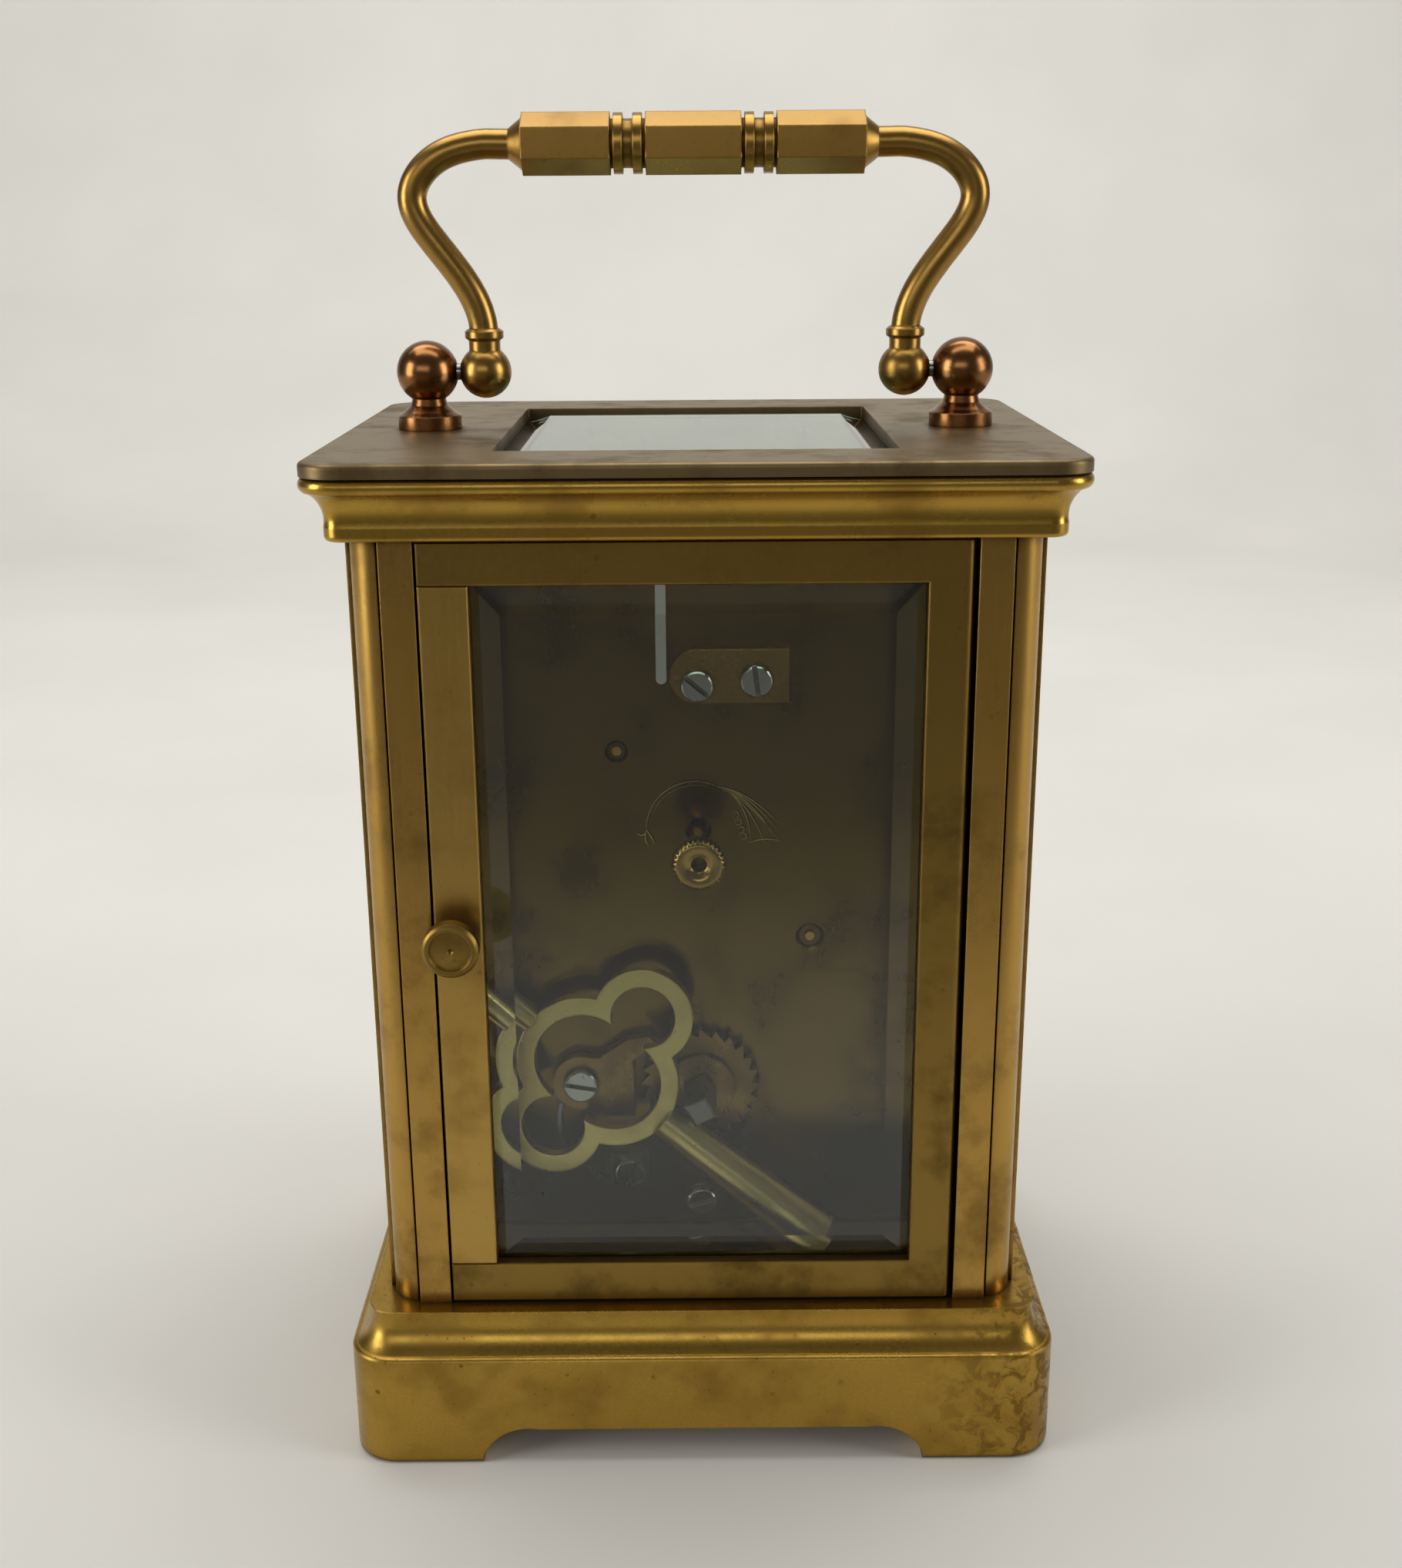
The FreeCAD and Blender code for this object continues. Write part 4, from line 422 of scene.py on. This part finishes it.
paths = [(round_arrow(arrow_radius, -4, 128), 0.3), (round_arrow(arrow_radius - 0.45 * MM, 18, 118), 0.18)]
for end in ((-9.6, 0.5), (-9.2, 0.0), (-8.7, -0.5), (-9.6, -1.6), (-7.9, -1.8), (-6.4, -1.7)):
    paths.append((feather((-2.6, 5.0), (-6.0, 4.2 + end[1] * 0.4), end), 0.26))
paths.append((feather((-9.6, -1.6), (-7.9, -1.1), (-6.2, -1.8)), 0.26))
for swing, end in (((5.9, -1.2), (6.6, -0.6)), ((5.2, -0.8), (4.6, -1.9)), ((6.0, -1.4), (5.4, -2.0))):
    paths.append((feather((5.6, -0.2), swing, end), 0.34))
for height in (1.6, 0.7, -0.2, -1.0):
    ring = round_arrow(0.36 * MM, 0, 350, 16) - arrow_middle
    paths.append((arrow_middle + ring + np.array([-4.6 - (1.6 - height) * 0.35, height]) * MM, 0.22))
# Every stroke is laid twice: a wide dark copy is a painted shadow in the cut, and a narrow bright copy
# shifted 0.05 mm is a painted highlight on its wall.
glint = np.array([0.05, -0.05]) * MM
for name, share, shift, proud, colour, roughness in (
        ("engraved_arrow_shadow", 1.0, 0.0, 0.01, "1c1406", 0.5),
        ("engraved_arrow_glint", 0.45, 1.0, 0.02, "c9ad62", 0.3)):
    strokes = [cut(path + shift * glint, width * share * MM, proud * MM) for path, width in paths]
    engraving = piece(name, *joined(strokes), graver_cut(name + "_brass", colour, roughness), smooth=False)
    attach(engraving, "case")

# ---------------------------------------------------------------- steelwork
# Winding square and index are polished steel, and the ratchet and click are a dark brass; springs are
# tempered a dark grey and the hands and hairspring are blued over a flame.
dress(steel, "cannon_pinion", "escape_wheel", "pallet_lever")
dress(screw_steel("hardened_square_steel", "6c6964", 0.3, fleck=0.4, edge=0.2), "winding_arbor")
dress(old_brass("ratchet_work_brass", "7a6232", "33240f", 0.2, recess=1.0, patches=0.5, spots=0.3, edge=0.1,
                reach=0.8), "ratchet_wheel", "click")
dress(screw_steel("polished_index_steel", "d8d6d0", 0.16, fleck=0.1), "regulator_index")
dress(screw_steel("tempered_spring_steel", "6d6f76", 0.25), "mainspring", "click_spring")
dress(screw_steel("flame_blued_steel", "1f2c5c", 0.18, fleck=0.0), "hour_hand", "minute_hand", "hairspring")

# ---------------------------------------------------------------- dial
# White vitreous enamel fired on a copper plate: very smooth, slightly creamy, with a wet gloss.


def fired_enamel(name, colour):
    """Fired enamel, index 1.52: broad ripples 6 mm across in the glaze."""
    material, tree, shader = blank(name)
    place = add(tree, "ShaderNodeTexCoord").outputs["Object"]
    ripple = add(tree, "ShaderNodeTexNoise", Vector=place, Scale=1 / (6 * MM), Detail=2.0)
    tone = tinted(tree, ripple.outputs["Fac"], linear(colour), [c * 0.95 for c in linear(colour)[:3]] + [1.0])
    bump = add(tree, "ShaderNodeBump", Height=ripple.outputs["Fac"], Strength=0.2, Distance=0.02 * MM)
    tree.links.new(tone, shader.inputs["Base Color"])
    tree.links.new(bump.outputs[0], shader.inputs["Normal"])
    shader.inputs["Roughness"].default_value = 0.08
    shader.inputs["IOR"].default_value = 1.52
    return material


dress(fired_enamel("white_fired_enamel", "f4f1e6"), "dial")

# ---------------------------------------------------------------- dial printing
# Roman hours and a minute track, with a wider bar every five minutes, are painted in black enamel
# and fired on, leaving a skin of paint a few hundredths of a millimetre thick.
painted, tree, shader = blank("black_fired_paint")
speckle = add(tree, "ShaderNodeTexNoise", Scale=1 / (0.4 * MM), Vector=add(
    tree, "ShaderNodeTexCoord").outputs["Object"])
tree.links.new(tinted(tree, speckle.outputs["Fac"], linear("15161a"), linear("24252b")),
               shader.inputs["Base Color"])
shader.inputs["Roughness"].default_value = 0.25
shader.inputs["IOR"].default_value = 1.52
dial_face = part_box("dial")[0].y
paint = 0.03 * MM
dial_middle = knob_middle
track_circles, circle_line = (21.0, 22.6), 0.16
numeral_ring, numeral_size, numeral_width = 18.0 * MM, 5.2 * MM, 0.72


def ring_bar(inner, outer, start, end, steps):
    """A flat bar of paint between two radii and two angles, clockwise from twelve in degrees."""
    angle = np.radians(np.linspace(start, end, steps))
    around = np.stack([np.sin(angle), np.cos(angle)], 1)
    corners = []
    for radius, y in ((inner, dial_face), (outer, dial_face),
                      (outer, dial_face - paint), (inner, dial_face - paint)):
        flat = around * radius
        corners.append(np.stack([dial_middle[0] + flat[:, 0], np.full(steps, y),
                                 dial_middle[1] + flat[:, 1]], 1))
    return np.stack(corners, 1).reshape(-1, 3), bar_sides(steps)


bars = [ring_bar(r * MM, (r + circle_line) * MM, side, side + 180, 61)
        for r in track_circles for side in (0, 180)]
for minute in range(60):
    half = 0.9 if minute % 5 == 0 else 0.3
    bars.append(ring_bar(21.1 * MM, 22.7 * MM, minute * 6 - half, minute * 6 + half, 2))
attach(piece("minute_track", *joined(bars), painted, smooth=False), "case")

hours = ("XII", "I", "II", "III", "IIII", "V", "VI", "VII", "VIII", "IX", "X", "XI")
for hour, figure in enumerate(hours):
    text = bpy.data.curves.new("hour_%02d" % (hour or 12), "FONT")
    text.body = figure
    text.size = numeral_size
    text.align_x, text.align_y = "CENTER", "CENTER"
    text.extrude = paint
    writing = bpy.data.objects.new("writing", text)
    bpy.context.scene.collection.objects.link(writing)
    numeral_mesh = bpy.data.meshes.new_from_object(writing)
    bpy.data.objects.remove(writing)
    angle = math.radians(hour * 30)
    narrow = Matrix.Diagonal((numeral_width, 1.0, 1.0, 1.0))
    numeral_mesh.transform(
        Matrix.Translation((dial_middle[0] + numeral_ring * math.sin(angle), dial_face,
                            dial_middle[1] + numeral_ring * math.cos(angle)))
        @ Matrix.Rotation(angle, 4, "Y") @ Matrix.Rotation(math.pi / 2, 4, "X") @ narrow)
    numeral_mesh.materials.clear()
    numeral_mesh.materials.append(painted)
    numeral = bpy.data.objects.new("hour_%02d" % (hour or 12), numeral_mesh)
    bpy.context.scene.collection.objects.link(numeral)
    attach(numeral, "case")

# ---------------------------------------------------------------- key
# The double-ended key is cast in pale nickel brass and tumbled smooth, with its steel-bored pipes
# brazed into the bow.
key_brass = old_brass("cast_nickel_brass_key", "c7b472", "7a6230", 0.24, recess=0.5, patches=0.3, spots=0.15,
                      edge=0.35, reach=1.0)
dress(key_brass, "key_bow", "key_winding_pipe", "key_setting_pipe")

# ---------------------------------------------------------------- stage, lights and camera


def sweep():
    """Pale paper sweep: a flat floor that rises behind the clock in a quarter circle to a wall."""
    across = np.linspace(-1.6, 1.6, 3)
    turn = np.linspace(0, math.pi / 2, 24)
    y = np.concatenate([[1.4], -0.55 - 0.35 * np.sin(turn), [-0.9]])
    z = np.concatenate([[0.0], 0.35 - 0.35 * np.cos(turn), [1.8]])
    points = np.stack([np.repeat(across, len(y)), np.tile(y, 3), np.tile(z, 3)], axis=1)
    rows, steps = 3, len(y)
    faces = [(i * steps + j, i * steps + j + 1, (i + 1) * steps + j + 1, (i + 1) * steps + j)
             for i in range(rows - 1) for j in range(steps - 1)]
    mesh = bpy.data.meshes.new("paper_sweep")
    mesh.from_pydata(points.tolist(), [], faces)
    mesh.polygons.foreach_set("use_smooth", [True] * len(mesh.polygons))
    sheet = bpy.data.objects.new("paper_sweep", mesh)
    bpy.context.scene.collection.objects.link(sheet)
    return sheet


floor = sweep()
paper, tree, shader = blank("pale_grey_paper")
place = add(tree, "ShaderNodeTexCoord").outputs["Object"]
fold = add(tree, "ShaderNodeTexNoise", Vector=place, Scale=1 / (90 * MM), Detail=3.0)
# The paper darkens to 7d7a75 between 70 and 260 mm in front of the clock: painted shade standing for the dim
# room on the camera side.
painted_front_shade = ramp(tree, add(tree, "ShaderNodeSeparateXYZ", Vector=place).outputs["Y"], 70 * MM, 260 * MM)
cloth = tinted(tree, fold.outputs["Fac"], linear("d0cdc6"), linear("c2c0ba"))
tree.links.new(tinted(tree, painted_front_shade, cloth, linear("7d7a75")), shader.inputs["Base Color"])
shader.inputs["Roughness"].default_value = 0.9
floor.data.materials.append(paper)


def softbox(name, place, aim, size, power, colour="ffffff"):
    """Rectangular studio softbox at a place, facing an aim point."""
    light = bpy.data.lights.new(name, "AREA")
    light.shape = "RECTANGLE"
    light.size, light.size_y = size
    light.energy = power
    light.color = linear(colour)[:3]
    lamp = bpy.data.objects.new(name, light)
    lamp.location = place
    lamp.rotation_euler = (Vector(aim) - Vector(place)).to_track_quat("-Z", "Y").to_euler()
    bpy.context.scene.collection.objects.link(lamp)
    return lamp


middle = (0, 0, 0.08)
softbox("overhead_softbox", (0.0, -0.1, 0.8), middle, (0.9, 0.6), 5.5)
softbox("left_softbox", (0.7, 0.3, 0.2), middle, (0.3, 0.6), 3.8)
softbox("right_softbox", (-0.8, 0.25, 0.3), middle, (0.3, 0.5), 3.0)
softbox("backdrop_light", (0.0, -0.3, 0.8), (0, -0.9, 0.35), (1.4, 0.3), 5.0)
softbox("window_behind_camera", (0.3, 1.4, 0.55), middle, (1.2, 0.35), 2.6)
world = bpy.data.worlds.new("studio")
world.use_nodes = True
world.node_tree.nodes["Background"].inputs["Color"].default_value = linear("e6e4df")
world.node_tree.nodes["Background"].inputs["Strength"].default_value = 0.14
bpy.context.scene.world = world

camera_data = bpy.data.cameras.new("camera")
camera_data.lens = 42.2
camera_data.sensor_width = 36.0
camera_data.clip_start = 0.01
camera = bpy.data.objects.new("camera", camera_data)
pitch, yaw, roll = 0.298, -0.002, -0.007
forward = Vector((math.sin(yaw) * math.cos(pitch), -math.cos(pitch), -math.sin(pitch)))
camera.rotation_mode = "QUATERNION"
camera.rotation_quaternion = forward.to_track_quat("-Z", "Y") @ Matrix.Rotation(roll, 4, "Z").to_quaternion()
camera.location = (0.000076, 0.210972, 0.135463)
bpy.context.scene.collection.objects.link(camera)
bpy.context.scene.camera = camera
bpy.context.scene.view_settings.view_transform = "Standard"
